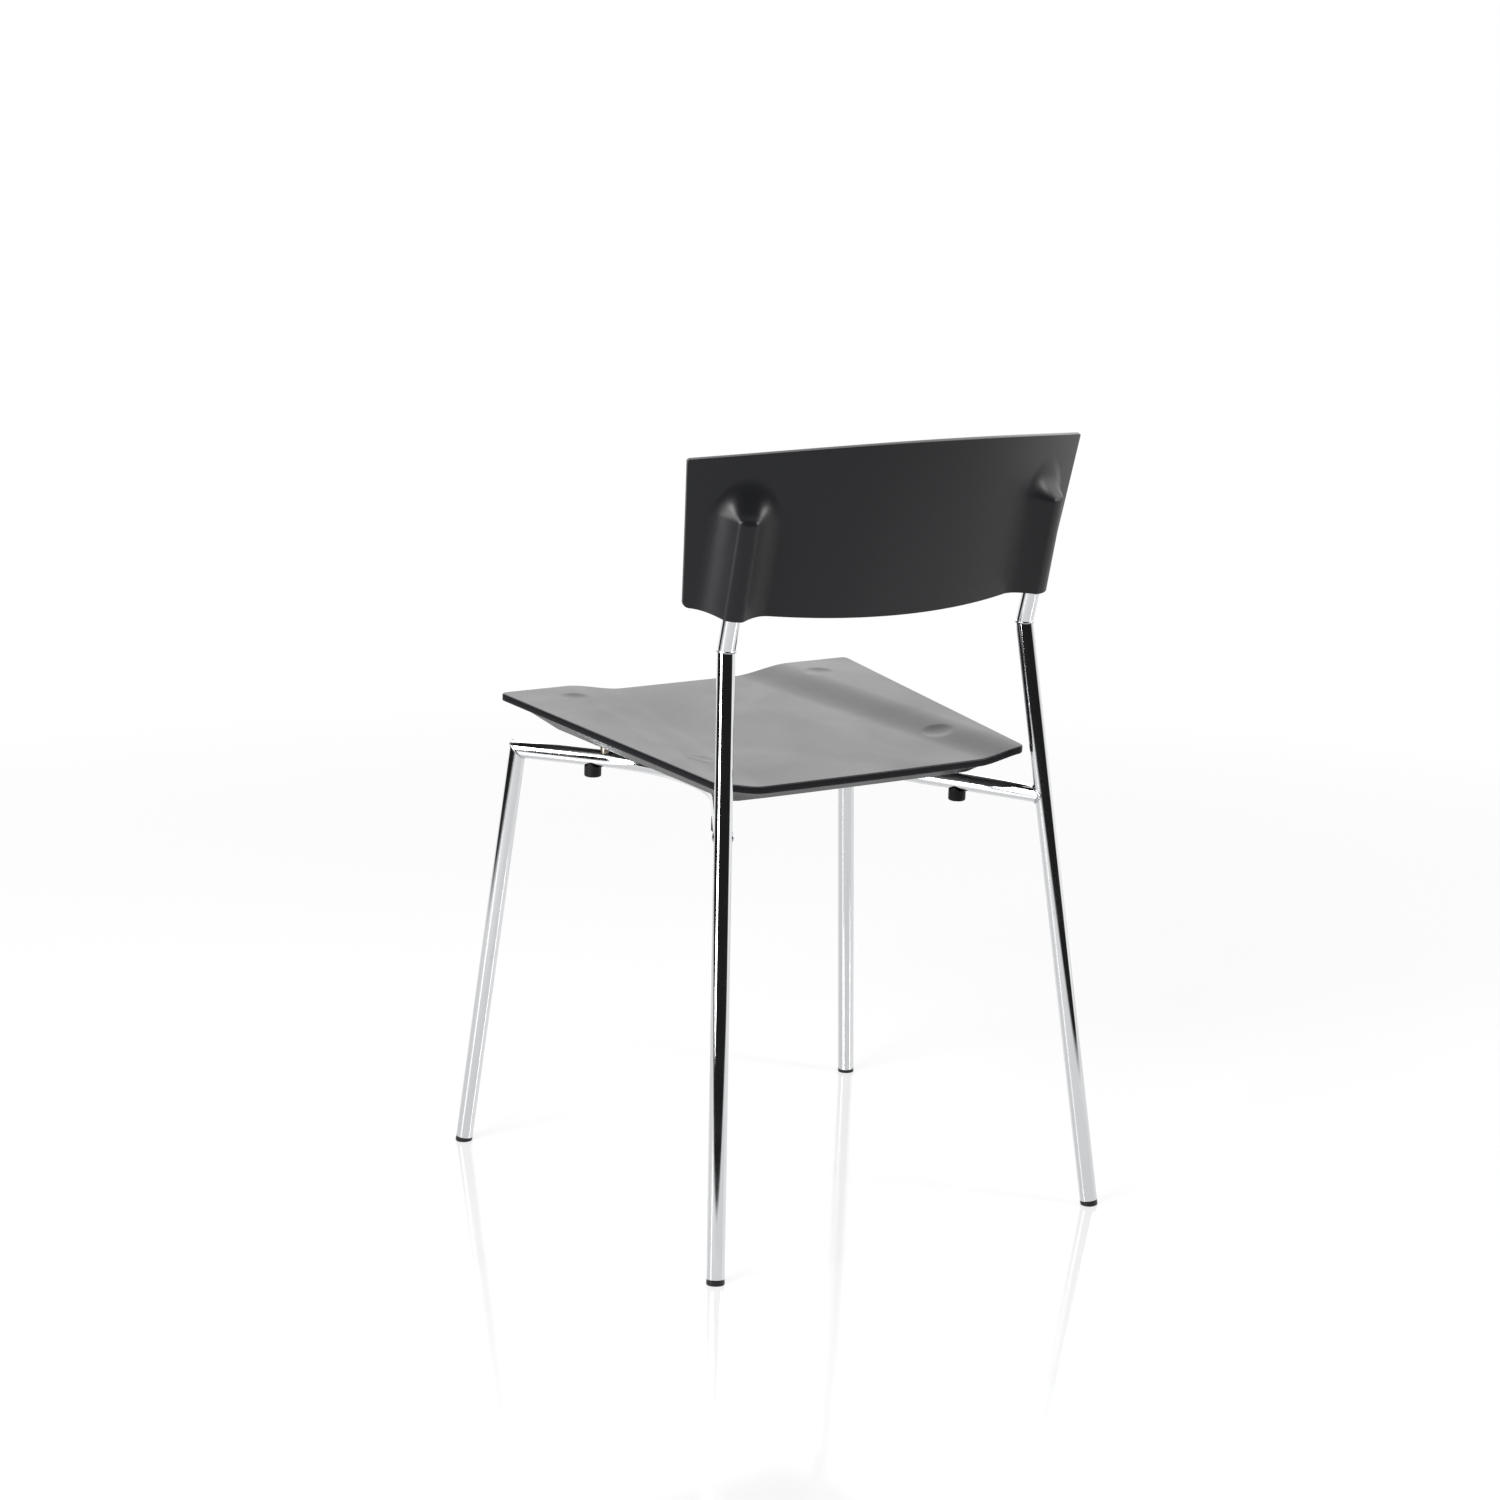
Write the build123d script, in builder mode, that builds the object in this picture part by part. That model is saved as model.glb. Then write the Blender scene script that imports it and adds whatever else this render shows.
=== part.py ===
"""Stacking chair: a welded tube frame with a moulded seat and a moulded backrest.

Millimetres. +Z is up, the sitter faces -Y, and the sitter's left is +X.
The origin is on the floor, in the middle of the four feet.
"""
import os
from math import cos, radians, sin, sqrt, tan

from build123d import *

os.makedirs("parts", exist_ok=True)

# ---- Frame: tube and the points that its axes pass through (right-left symmetric) ----
tube_diameter = 18.0
tube_wall = 1.5
foot_reach = 245.5  # from the middle of the chair to each foot, front and rear
front_foot_spread = 248.3  # half the distance between the front feet
rear_foot_spread = 226.9
corner_spread = 207.1  # half the distance between the sharp front corners
corner_reach = 201.7
corner_height = 439.4
bend_spread = 176.8  # where a rear leg meets its upright
bend_setback = 164.1
bend_height = 606.2
upright_lean = 16.0  # degrees, backwards
upright_splay = 0.5  # degrees, outwards

# ---- Side rails, bowed towards each other between the legs ----
rail_slope = 1.6  # degrees, down to the rear
rail_front_angle = 40.5  # degrees in from straight back
rail_rear_angle = 30.0
rail_bend_radius = 170.0
weld_width = 1.6
weld_height = 0.5
weld_leg = 1.8  # size of the fillet weld between a rail and a rear leg

# ---- Glides in the feet ----
glide_cap_height = 5.0
glide_edge_round = 1.2
glide_stem_length = 20.0

# ---- Stacking buffers and seat fixings, placed along each rail ----
buffer_diameter = 18.0
buffer_drop = 11.0  # from the rail's underside to the buffer's foot
buffer_wing = 4.0  # how far its saddle climbs the rail
buffer_foot_round = 1.5
buffer_stem_diameter = 6.0
front_buffer_run = 84.6  # along the rail, from the front corner
rear_buffer_run = 96.5  # along the rail, from the rear leg
front_fixing_gap = 14.0  # along the rail, between a buffer and its seat fixing
rear_fixing_gap = 15.0
spacer_diameter = 12.0
spacer_height = 5.0
screw_diameter = 6.0
screw_head_diameter = 10.0
screw_head_height = 4.0
insert_diameter = 8.0
insert_length = 11.0
boss_diameter = 12.0

# ---- Seat ----
seat_front_overhang = 19.8  # in front of the frame's corners
seat_side_overhang = 10.6  # outside them
seat_rear_gap = 13.0  # from the rear edge to the line between the rear legs
seat_rear_inset = 1.3  # from the side edge, at the rear, to a rear leg's axis
seat_rear_bow = 2.0
seat_slope = 3.2  # degrees, down to the rear
seat_front_corner_radius = 6.0
seat_rear_corner_radius = 8.0
seat_rim_height = 8.0
seat_rim_width = 8.0
seat_rim_round = 3.2
seat_skin = 5.0
front_dish_depth = 9.0
front_dish_flat_half_width = 70.0
front_dish_rise_width = 70.0
rear_dish_depth = 8.5
rear_dish_flat_half_width = 128.0
rear_dish_rise_width = 60.0
pan_depth = 36.0  # from the rim down to the pan's floor, at the front corners
pan_wall = 3.0
pan_front_overhang = 8.0  # of the pan's floor, in front of the frame's corners
pan_rear_setback = 62.0  # from the rear legs forward to the rear of the pan's floor
pan_fixing_margin = 3.0  # from a spacer out to the side edge of the pan's floor
pan_corner_radius = 18.0
dimple_diameter = 32.5
dimple_depth = 1.6
stack_setback = 41.0  # how far a chair stands behind the one it is stacked on

# ---- Backrest ----
back_thickness = 4.0
back_radius = 462.0  # of its rear face
back_lean = 14.0  # degrees, backwards
back_tube_offset = 10.0  # from the rear face to an upright's axis, halfway up a sleeve
back_top_half_width = 231.0
back_bottom_half_width = 217.0
back_bottom_run = 37.0  # along the lean, from the bend of the uprights to the bottom corners
back_side_length = 149.1
back_top_crown = 28.8
back_bottom_crown = 3.5
back_top_corner_radius = 2.5
back_bottom_corner_radius = 6.0
sleeve_wall = 3.0
sleeve_start = 35.0  # along the upright, from the bend to the mouth of the sleeve
sleeve_length = 99.0  # up to where the shoulder begins
sleeve_shoulder = 18.0
shoulder_share = 0.2  # how much of the sleeve still stands out at the shoulder's end
sleeve_skirt = 30.0  # half the width over which its flanks run out
sleeve_root = 3.0  # how deep its flanks start in the panel
back_screw_diameter = 4.0
back_screw_head_diameter = 7.0
back_screw_head_height = 1.4
back_screw_reach = 3.0  # past the inside of the tube's wall

fit_gap = 0.15  # between pieces that slide together

# ---- Places worked out from the sizes above ----
tube_radius = tube_diameter / 2
bore_radius = tube_radius - tube_wall
sides = {"left": 1, "right": -1}
rail_plane = Plane(
    origin=(0, -corner_reach, corner_height),
    x_dir=(1, 0, 0),
    z_dir=(0, sin(radians(rail_slope)), cos(radians(rail_slope))),
)
pan_floor_plane = rail_plane.offset(tube_radius + spacer_height)
rear_leg_up = Vector(
    bend_spread - rear_foot_spread, bend_setback - foot_reach, bend_height
)


def rear_leg_point(height):
    """The point of the left rear leg's axis at a height."""
    return Vector(rear_foot_spread, foot_reach, 0) + rear_leg_up * (height / bend_height)


def rear_leg_meets_rail_plane():
    """The point where the left rear leg's axis passes through the plane of the rails."""
    foot = rear_leg_point(0)
    normal = rail_plane.z_dir
    share = normal.dot(rail_plane.origin - foot) / normal.dot(rear_leg_up)
    return foot + rear_leg_up * share


def front_rail_direction(sign):
    """The way a rail leaves its front corner."""
    angle = radians(rail_front_angle)
    return rail_plane.x_dir * (-sign * sin(angle)) + rail_plane.y_dir * cos(angle)


def upright_direction(sign):
    """The way an upright leaves its bend."""
    return Vector(sign * tan(radians(upright_splay)), tan(radians(upright_lean)), 1).normalized()


def frame_points(sign):
    """Front foot, front corner, rear foot and bend of one side of the frame."""
    return (
        Vector(sign * front_foot_spread, -foot_reach, 0),
        Vector(sign * corner_spread, -corner_reach, corner_height),
        Vector(sign * rear_foot_spread, foot_reach, 0),
        Vector(sign * bend_spread, bend_setback, bend_height),
    )


def rail_path(sign):
    """The axis of a side rail, from its front corner to the rear leg: straight, arc, straight."""
    rear = rail_plane.to_local_coords(rear_leg_meets_rail_plane())
    front_slope = tan(radians(rail_front_angle))
    rear_slope = tan(radians(rail_rear_angle))
    apex_y = (corner_spread - rear.X + rear_slope * rear.Y) / (front_slope + rear_slope)
    apex_x = corner_spread - front_slope * apex_y
    with BuildLine(rail_plane) as path:
        FilletPolyline(
            (sign * corner_spread, 0),
            (sign * apex_x, apex_y),
            (sign * rear.X, rear.Y),
            radius=rail_bend_radius,
        )
    return path.wire()


def rail_stations(sign):
    """Points on a rail's axis: the two buffers, then the two seat fixings."""
    path = rail_path(sign)
    from_rear = path.length - rear_buffer_run
    runs = (
        front_buffer_run,
        from_rear,
        front_buffer_run + front_fixing_gap,
        from_rear - rear_fixing_gap,
    )
    return [path.position_at(run, position_mode=PositionMode.LENGTH) for run in runs]


def station_plane(station, height=0.0):
    """A plane through a point of a rail, parallel to the plane of the rails, raised by height."""
    plane = Plane(origin=station, x_dir=(1, 0, 0), z_dir=rail_plane.z_dir)
    return plane.offset(height)


def rod(start, end, radius, overrun=0.0):
    """A solid round rod between two points, run on past the end."""
    along = end - start
    with BuildPart() as bar:
        with BuildSketch(Plane(origin=start, z_dir=along)):
            Circle(radius)
        extrude(amount=along.length + overrun)
    return bar.part


def rail_rod(sign, radius, overrun=0.0):
    """A solid round rod along a rail's axis, run on past the front corner."""
    path = rail_path(sign)
    start_plane = Plane(origin=path @ 0, z_dir=path % 0)
    with BuildPart() as bar:
        with BuildSketch(start_plane):
            Circle(radius)
        sweep(path=path)
        if overrun > 0:
            with BuildSketch(start_plane):
                Circle(radius)
            extrude(amount=-overrun)
    return bar.part


def mitre_plane(point, incoming, outgoing):
    """The plane in which two tubes that bend at a point are cut and joined."""
    return Plane(origin=point, z_dir=incoming.normalized() + outgoing.normalized())


def mitre_weld(point, incoming, outgoing):
    """The bead around a mitred joint of two tubes."""
    plane = mitre_plane(point, incoming, outgoing)
    reach = 2 * tube_diameter
    with BuildPart() as bead:
        add(rod(point - incoming.normalized() * reach, point, tube_radius + weld_height, reach))
        split(bisect_by=plane.offset(-weld_width / 2), keep=Keep.TOP)
        split(bisect_by=plane, keep=Keep.BOTTOM)
        add(rod(point - incoming.normalized() * reach, point, tube_radius, reach), mode=Mode.SUBTRACT)
    with BuildPart() as other:
        add(rod(point + outgoing.normalized() * reach, point, tube_radius + weld_height, reach))
        split(bisect_by=plane.offset(weld_width / 2), keep=Keep.BOTTOM)
        split(bisect_by=plane, keep=Keep.TOP)
        add(rod(point + outgoing.normalized() * reach, point, tube_radius, reach), mode=Mode.SUBTRACT)
    with BuildPart() as weld:
        add(bead.part)
        add(other.part)
    return weld.part


def lean_direction():
    """The way the backrest leans, seen from the side."""
    return Vector(0, sin(radians(back_lean)), cos(radians(back_lean)))


def upright_point(sign, run):
    """The point of an upright's axis at a distance from its bend."""
    return Vector(sign * bend_spread, bend_setback, bend_height) + upright_direction(sign) * run


def back_normal(sign):
    """The way the backrest's rear face looks where an upright stands."""
    middle = upright_point(sign, sleeve_start + sleeve_length / 2)
    share = middle.X / (back_radius + back_tube_offset)
    rearwards = Vector(0, cos(radians(back_lean)), -sin(radians(back_lean)))
    return Vector(share, 0, 0) + rearwards * sqrt(1 - share**2)


def back_screw_plane(sign):
    """A plane through an upright's axis, looking out of the front of the backrest."""
    middle = upright_point(sign, sleeve_start + sleeve_length / 2)
    return Plane(origin=middle, z_dir=back_normal(sign) * -1)


def sleeve_plane(sign, run):
    """A plane across an upright, with its Y axis pointing out of the rear of the backrest."""
    up = upright_direction(sign)
    return Plane(origin=upright_point(sign, run), x_dir=back_normal(sign).cross(up), z_dir=up)


def sleeve_section(plane, share):
    """Half-round crest with flanks that run out on the panel; share scales how far it stands."""
    crest = tube_radius + fit_gap + sleeve_wall
    root = -back_tube_offset - sleeve_root
    flank_x = crest * sin(radians(45))
    flank_y = root + (flank_x - root) * share
    with BuildSketch(plane) as section:
        with BuildLine():
            ThreePointArc(
                (-flank_x, flank_y), (0, root + (crest - root) * share), (flank_x, flank_y)
            )
            Spline((flank_x, flank_y), (sleeve_skirt, root), tangents=((1, -share), (1, -0.1)))
            Spline((-flank_x, flank_y), (-sleeve_skirt, root), tangents=((-1, -share), (-1, -0.1)))
            Line((-sleeve_skirt, root), (sleeve_skirt, root))
        make_face()
    return section.sketch


# ---- Pieces of the side frames, one set for each side ----
mitre_overrun = 2 * tube_diameter
screw_radius = screw_diameter / 2
screw_head_radius = screw_head_diameter / 2
screw_seat_height = sqrt(bore_radius**2 - screw_head_radius**2) - fit_gap
insert_base = tube_radius + spacer_height + pan_wall
back_face_run = back_tube_offset + back_thickness
seat_screws = []
seat_inserts = []
back_screws = []
fixing_stations = []
dimple_stations = []
stack_step = Vector(0, stack_setback, 0)

for side, sign in sides.items():
    front_foot, front_corner, rear_foot, rear_bend = frame_points(sign)
    front_up = front_corner - front_foot
    rear_up = rear_bend - rear_foot
    rail_start = front_rail_direction(sign)
    upright_up = upright_direction(sign)
    upright_top = upright_point(sign, sleeve_start + sleeve_length)
    corner_cut = mitre_plane(front_corner, front_up, rail_start)
    bend_cut = mitre_plane(rear_bend, rear_up, upright_up)
    front_buffer_at, rear_buffer_at, front_fixing_at, rear_fixing_at = rail_stations(sign)
    fixing_stations += [front_fixing_at, rear_fixing_at]
    dimple_stations += [front_buffer_at - stack_step, rear_buffer_at - stack_step]
    screw_plane = back_screw_plane(sign)
    rail_last = rail_path(sign) @ 1
    rail_before = rail_last - (rail_path(sign) % 1) * mitre_overrun

    with BuildPart() as front_leg:
        add(rod(front_foot, front_corner, tube_radius, mitre_overrun))
        add(rod(front_foot, front_corner, bore_radius, mitre_overrun), mode=Mode.SUBTRACT)
        foot_cut = Plane(origin=front_foot, z_dir=front_up).offset(glide_cap_height)
        split(bisect_by=foot_cut, keep=Keep.TOP)
        split(bisect_by=corner_cut, keep=Keep.BOTTOM)
    front_leg.part.label = f"front_leg_{side}"
    export_step(front_leg.part, f"parts/front_leg_{side}.step")

    with BuildPart() as rear_leg:
        add(rod(rear_foot, rear_bend, tube_radius, mitre_overrun))
        add(rod(rear_foot, rear_bend, bore_radius, mitre_overrun), mode=Mode.SUBTRACT)
        foot_cut = Plane(origin=rear_foot, z_dir=rear_up).offset(glide_cap_height)
        split(bisect_by=foot_cut, keep=Keep.TOP)
        split(bisect_by=bend_cut, keep=Keep.BOTTOM)
    rear_leg.part.label = f"rear_leg_{side}"
    export_step(rear_leg.part, f"parts/rear_leg_{side}.step")

    with BuildPart() as upright:
        lower_end = upright_point(sign, -mitre_overrun)
        add(rod(lower_end, upright_top, tube_radius))
        add(rod(lower_end, upright_top, bore_radius), mode=Mode.SUBTRACT)
        split(bisect_by=bend_cut, keep=Keep.TOP)
        with BuildSketch(screw_plane):
            Circle(back_screw_diameter / 2)
        extrude(amount=tube_diameter, mode=Mode.SUBTRACT)
    upright.part.label = f"upright_{side}"
    export_step(upright.part, f"parts/upright_{side}.step")

    with BuildPart() as side_rail:
        add(rail_rod(sign, tube_radius, mitre_overrun))
        add(rail_rod(sign, bore_radius, mitre_overrun), mode=Mode.SUBTRACT)
        split(bisect_by=corner_cut, keep=Keep.TOP)
        add(rod(rear_foot, rear_bend, tube_radius), mode=Mode.SUBTRACT)
        for station in (front_buffer_at, rear_buffer_at):
            with BuildSketch(station_plane(station)):
                Circle(buffer_stem_diameter / 2)
            extrude(amount=-tube_diameter, mode=Mode.SUBTRACT)
        for station in (front_fixing_at, rear_fixing_at):
            with BuildSketch(station_plane(station)):
                Circle(screw_radius + fit_gap)
            extrude(amount=tube_diameter, mode=Mode.SUBTRACT)
            with BuildSketch(station_plane(station)):
                Circle(screw_head_radius + fit_gap)
            extrude(amount=-tube_diameter, mode=Mode.SUBTRACT)
    side_rail.part.label = f"side_rail_{side}"
    export_step(side_rail.part, f"parts/side_rail_{side}.step")

    with BuildPart() as corner_weld:
        add(mitre_weld(front_corner, front_up, rail_start))
    corner_weld.part.label = f"corner_weld_{side}"
    export_step(corner_weld.part, f"parts/corner_weld_{side}.step")

    with BuildPart() as upright_weld:
        add(mitre_weld(rear_bend, rear_up, upright_up))
    upright_weld.part.label = f"upright_weld_{side}"
    export_step(upright_weld.part, f"parts/upright_weld_{side}.step")

    with BuildPart() as rail_weld:
        add(rod(rear_foot, rear_bend, tube_radius + weld_leg))
        add(rod(rail_before, rail_last, tube_radius + weld_leg), mode=Mode.INTERSECT)
        add(rod(rear_foot, rear_bend, tube_radius), mode=Mode.SUBTRACT)
        add(rod(rail_before, rail_last, tube_radius), mode=Mode.SUBTRACT)
    rail_weld.part.label = f"rail_weld_{side}"
    export_step(rail_weld.part, f"parts/rail_weld_{side}.step")

    for end, foot, up in (("front", front_foot, front_up), ("rear", rear_foot, rear_up)):
        foot_plane = Plane(origin=foot, z_dir=up)
        with BuildPart() as glide:
            with BuildSketch(foot_plane.offset(-glide_edge_round)):
                Circle(tube_radius)
            extrude(amount=glide_cap_height + glide_edge_round)
            fillet(glide.edges().group_by(Axis.Z)[0], glide_edge_round)
            with BuildSketch(foot_plane.offset(glide_cap_height)):
                Circle(bore_radius - fit_gap)
            extrude(amount=glide_stem_length)
            split(bisect_by=Plane.XY, keep=Keep.TOP)
        glide.part.label = f"{end}_glide_{side}"
        export_step(glide.part, f"parts/{end}_glide_{side}.step")

    for end, station in (("front", front_buffer_at), ("rear", rear_buffer_at)):
        with BuildPart() as stacking_buffer:
            with BuildSketch(station_plane(station, -tube_radius - buffer_drop)):
                Circle(buffer_diameter / 2)
            extrude(amount=buffer_drop + buffer_wing)
            fillet(stacking_buffer.edges().group_by(Axis.Z)[0], buffer_foot_round)
            add(rail_rod(sign, tube_radius), mode=Mode.SUBTRACT)
            with BuildSketch(station_plane(station, -tube_radius - buffer_drop / 2)):
                Circle(buffer_stem_diameter / 2)
            extrude(amount=buffer_drop / 2 + 2 * tube_wall)
        stacking_buffer.part.label = f"{end}_buffer_{side}"
        export_step(stacking_buffer.part, f"parts/{end}_buffer_{side}.step")

    for end, station in (("front", front_fixing_at), ("rear", rear_fixing_at)):
        with BuildPart() as seat_spacer:
            with BuildSketch(station_plane(station, bore_radius)):
                Circle(spacer_diameter / 2)
                Circle(screw_radius + fit_gap, mode=Mode.SUBTRACT)
            extrude(amount=tube_wall + spacer_height)
            add(rail_rod(sign, tube_radius), mode=Mode.SUBTRACT)
        seat_spacer.part.label = f"{end}_spacer_{side}"
        export_step(seat_spacer.part, f"parts/{end}_spacer_{side}.step")

        with BuildPart() as seat_screw:
            with BuildSketch(station_plane(station, screw_seat_height - screw_head_height)):
                Circle(screw_head_radius)
            extrude(amount=screw_head_height)
            with BuildSketch(station_plane(station, screw_seat_height)):
                Circle(screw_radius)
            extrude(amount=insert_base + insert_length - screw_seat_height)
        seat_screws.append(seat_screw.part)

        with BuildPart() as seat_insert:
            with BuildSketch(station_plane(station, insert_base)):
                Circle(insert_diameter / 2)
                Circle(screw_radius, mode=Mode.SUBTRACT)
            extrude(amount=insert_length)
        seat_inserts.append(seat_insert.part)

    with BuildPart() as back_screw:
        with BuildSketch(screw_plane.offset(back_face_run - back_screw_head_height)):
            Circle(back_screw_head_diameter / 2)
        extrude(amount=back_screw_head_height)
        with BuildSketch(screw_plane.offset(bore_radius - back_screw_reach)):
            Circle(back_screw_diameter / 2)
        extrude(amount=back_face_run - bore_radius + back_screw_reach)
    back_screws.append(back_screw.part)

# ---- Fasteners, one node for each kind ----
for kind, solids in (
    ("seat_screws", seat_screws),
    ("seat_inserts", seat_inserts),
    ("back_screws", back_screws),
):
    group = Compound(label=kind, children=solids)
    export_step(group, f"parts/{kind}.step")

# ---- Seat: an upper moulding with a rim, closed below by a tapered pan ----
seat_front_y = -corner_reach - seat_front_overhang
seat_front_height = (
    corner_height + tube_radius + spacer_height + pan_depth + seat_rim_height
)
rear_leg_at_seat = rear_leg_point(seat_front_height)
seat_length = rear_leg_at_seat.Y - seat_rear_gap - seat_front_y
seat_front_half_width = corner_spread + seat_side_overhang
seat_rear_half_width = rear_leg_at_seat.X - seat_rear_inset
seat_plane = Plane(
    origin=(0, seat_front_y, seat_front_height),
    x_dir=(1, 0, 0),
    z_dir=(0, sin(radians(seat_slope)), cos(radians(seat_slope))),
)
seat_section_plane = Plane(
    origin=seat_plane.origin, x_dir=(1, 0, 0), z_dir=seat_plane.y_dir * -1
)
seat_reach = 2 * pan_depth + 2 * seat_rim_height  # deeper than anything under the seat


def tapered_outline(front, rear, front_radius, rear_radius):
    """A tapered outline with a bowed rear edge, from its front and rear corners on the left."""
    front_x, front_y = front
    rear_x, rear_y = rear
    with BuildSketch() as outline:
        with BuildLine():
            Polyline(
                (rear_x, rear_y - seat_rear_bow),
                (front_x, front_y),
                (-front_x, front_y),
                (-rear_x, rear_y - seat_rear_bow),
            )
            ThreePointArc(
                (-rear_x, rear_y - seat_rear_bow), (0, rear_y), (rear_x, rear_y - seat_rear_bow)
            )
        make_face()
        fillet(outline.vertices().group_by(Axis.Y)[0], front_radius)
        fillet(outline.vertices().group_by(Axis.Y)[-1], rear_radius)
    return outline.sketch


def seat_outline(inset):
    """The seat's outline, drawn in from its edges; X is 0 in the middle, Y runs from the front."""
    taper = (seat_front_half_width - seat_rear_half_width) / seat_length
    rear_y = seat_length - inset
    return tapered_outline(
        (seat_front_half_width - inset - taper * inset, inset),
        (seat_front_half_width - inset - taper * rear_y, rear_y),
        seat_front_corner_radius,
        seat_rear_corner_radius,
    )


def dish_section(run, sizes, top, bottom):
    """A cut across the seat, a run behind its front, between two depths under its dished top."""
    dish_depth, flat_half_width, rise_width = sizes
    half_width = seat_front_half_width + seat_side_overhang
    rise_end = flat_half_width + rise_width
    with BuildSketch(seat_section_plane.offset(-run)) as section:
        with BuildLine():
            for depth in (top, bottom):
                floor = -dish_depth - depth
                Line((-flat_half_width, floor), (flat_half_width, floor))
                for way in (1, -1):
                    Spline(
                        (way * flat_half_width, floor),
                        (way * rise_end, -depth),
                        tangents=((way, 0), (way, 0)),
                    )
                    Line((way * rise_end, -depth), (way * half_width, -depth))
            for way in (1, -1):
                Line((way * half_width, -top), (way * half_width, -bottom))
        make_face()
    return section.sketch


def dish_slab(top, bottom):
    """The slab of the seat between two depths under its dished top, longer and wider than it."""
    front_dish = (front_dish_depth, front_dish_flat_half_width, front_dish_rise_width)
    rear_dish = (rear_dish_depth, rear_dish_flat_half_width, rear_dish_rise_width)
    with BuildPart() as slab:
        add(dish_section(-seat_rim_width, front_dish, top, bottom))
        add(dish_section(seat_length + seat_rim_width, rear_dish, top, bottom))
        loft(ruled=True)
    return slab.part


def pan_floor_outline(wall):
    """The outline of the pan's floor, drawn in by a wall; its sides run past the spacers."""
    margin = spacer_diameter / 2 + pan_fixing_margin - wall
    front_at = rail_plane.to_local_coords(fixing_stations[0])
    rear_at = rail_plane.to_local_coords(fixing_stations[1])
    taper = (front_at.X - rear_at.X) / (rear_at.Y - front_at.Y)
    front_y = wall - pan_front_overhang
    rear_y = rail_plane.to_local_coords(rear_leg_meets_rail_plane()).Y - pan_rear_setback - wall
    return tapered_outline(
        (front_at.X + margin + taper * (front_at.Y - front_y), front_y),
        (front_at.X + margin + taper * (front_at.Y - rear_y), rear_y),
        pan_corner_radius,
        pan_corner_radius,
    )


with BuildPart() as seat_pocket:
    add(dish_slab(seat_skin, seat_reach))
    with BuildSketch(seat_plane.offset(-seat_reach)):
        add(seat_outline(seat_rim_width))
    extrude(amount=2 * seat_reach, mode=Mode.INTERSECT)

with BuildPart() as seat_bosses:
    for station in fixing_stations:
        with BuildSketch(station_plane(station, insert_base)):
            Circle(boss_diameter / 2)
        extrude(amount=seat_reach)
    add(dish_slab(seat_skin / 2, seat_reach), mode=Mode.INTERSECT)

with BuildPart() as seat_shell:
    add(dish_slab(0, seat_rim_height))
    with BuildSketch(seat_plane.offset(-seat_reach)):
        add(seat_outline(0))
    extrude(amount=2 * seat_reach, mode=Mode.INTERSECT)
    top_and_bottom = seat_shell.faces().filter_by(
        lambda face: abs(face.normal_at().dot(seat_plane.z_dir)) > cos(radians(45))
    )
    side_walls = seat_shell.faces() - top_and_bottom
    rim_edges = [edge for wall in side_walls for edge in wall.edges()]
    rim_edges = ShapeList(
        edge for edge in set(rim_edges) if abs((edge % 0.5).dot(seat_plane.z_dir)) < 0.7
    )
    fillet(rim_edges, seat_rim_round)
    add(seat_pocket.part, mode=Mode.SUBTRACT)
    add(seat_bosses.part)
    for station in fixing_stations:
        with BuildSketch(station_plane(station, insert_base)):
            Circle(insert_diameter / 2)
        extrude(amount=insert_length, mode=Mode.SUBTRACT)
    sphere_radius = (dimple_diameter**2 / 4 + dimple_depth**2) / (2 * dimple_depth)
    for station in dimple_stations:
        at = seat_plane.to_local_coords(station)
        centre = seat_plane.from_local_coords(Vector(at.X, at.Y, sphere_radius - dimple_depth))
        with Locations(centre):
            Sphere(sphere_radius, mode=Mode.SUBTRACT)
seat_shell.part.label = "seat_shell"
export_step(seat_shell.part, "parts/seat_shell.step")

pan_inset = seat_rim_width + fit_gap

with BuildPart() as pan_hollow:
    with BuildSketch(pan_floor_plane.offset(pan_wall)):
        add(pan_floor_outline(pan_wall))
    with BuildSketch(seat_plane.offset(-seat_rim_height)):
        add(seat_outline(pan_inset + pan_wall))
    loft(ruled=True)
    with BuildSketch(seat_plane.offset(-seat_rim_height)):
        add(seat_outline(pan_inset + pan_wall))
    extrude(amount=seat_rim_height)

with BuildPart() as seat_underpan:
    with BuildSketch(pan_floor_plane):
        add(pan_floor_outline(0))
    with BuildSketch(seat_plane.offset(-seat_rim_height)):
        add(seat_outline(pan_inset))
    loft(ruled=True)
    with BuildSketch(seat_plane.offset(-seat_rim_height)):
        add(seat_outline(pan_inset))
    extrude(amount=seat_rim_height)
    add(pan_hollow.part, mode=Mode.SUBTRACT)
    add(dish_slab(seat_skin + fit_gap, seat_reach), mode=Mode.INTERSECT)
    for station in fixing_stations:
        with BuildSketch(station_plane(station)):
            Circle(screw_radius + fit_gap)
        extrude(amount=insert_base, mode=Mode.SUBTRACT)
seat_underpan.part.label = "seat_underpan"
export_step(seat_underpan.part, "parts/seat_underpan.step")

# ---- Backrest: a curved panel with two sleeves that slide down over the uprights ----
lean_up = lean_direction()
back_y = Vector(0, lean_up.Z, -lean_up.Y)
bend_middle = Vector(0, bend_setback, bend_height)
upright_middle = upright_point(1, sleeve_start + sleeve_length / 2)
tube_line = upright_middle - Vector(upright_middle.X, 0, 0)
tube_depth = (tube_line - bend_middle).dot(back_y)
arc_centre_y = tube_depth - sqrt((back_radius + back_tube_offset) ** 2 - upright_middle.X**2)
back_plane = Plane(origin=bend_middle, x_dir=(1, 0, 0), z_dir=lean_up)
back_outline_plane = Plane(origin=bend_middle, x_dir=(1, 0, 0), z_dir=back_y * -1)
back_top_run = back_bottom_run + back_side_length
back_height = back_top_run + back_top_crown
back_foot = back_bottom_run - back_bottom_crown


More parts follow.
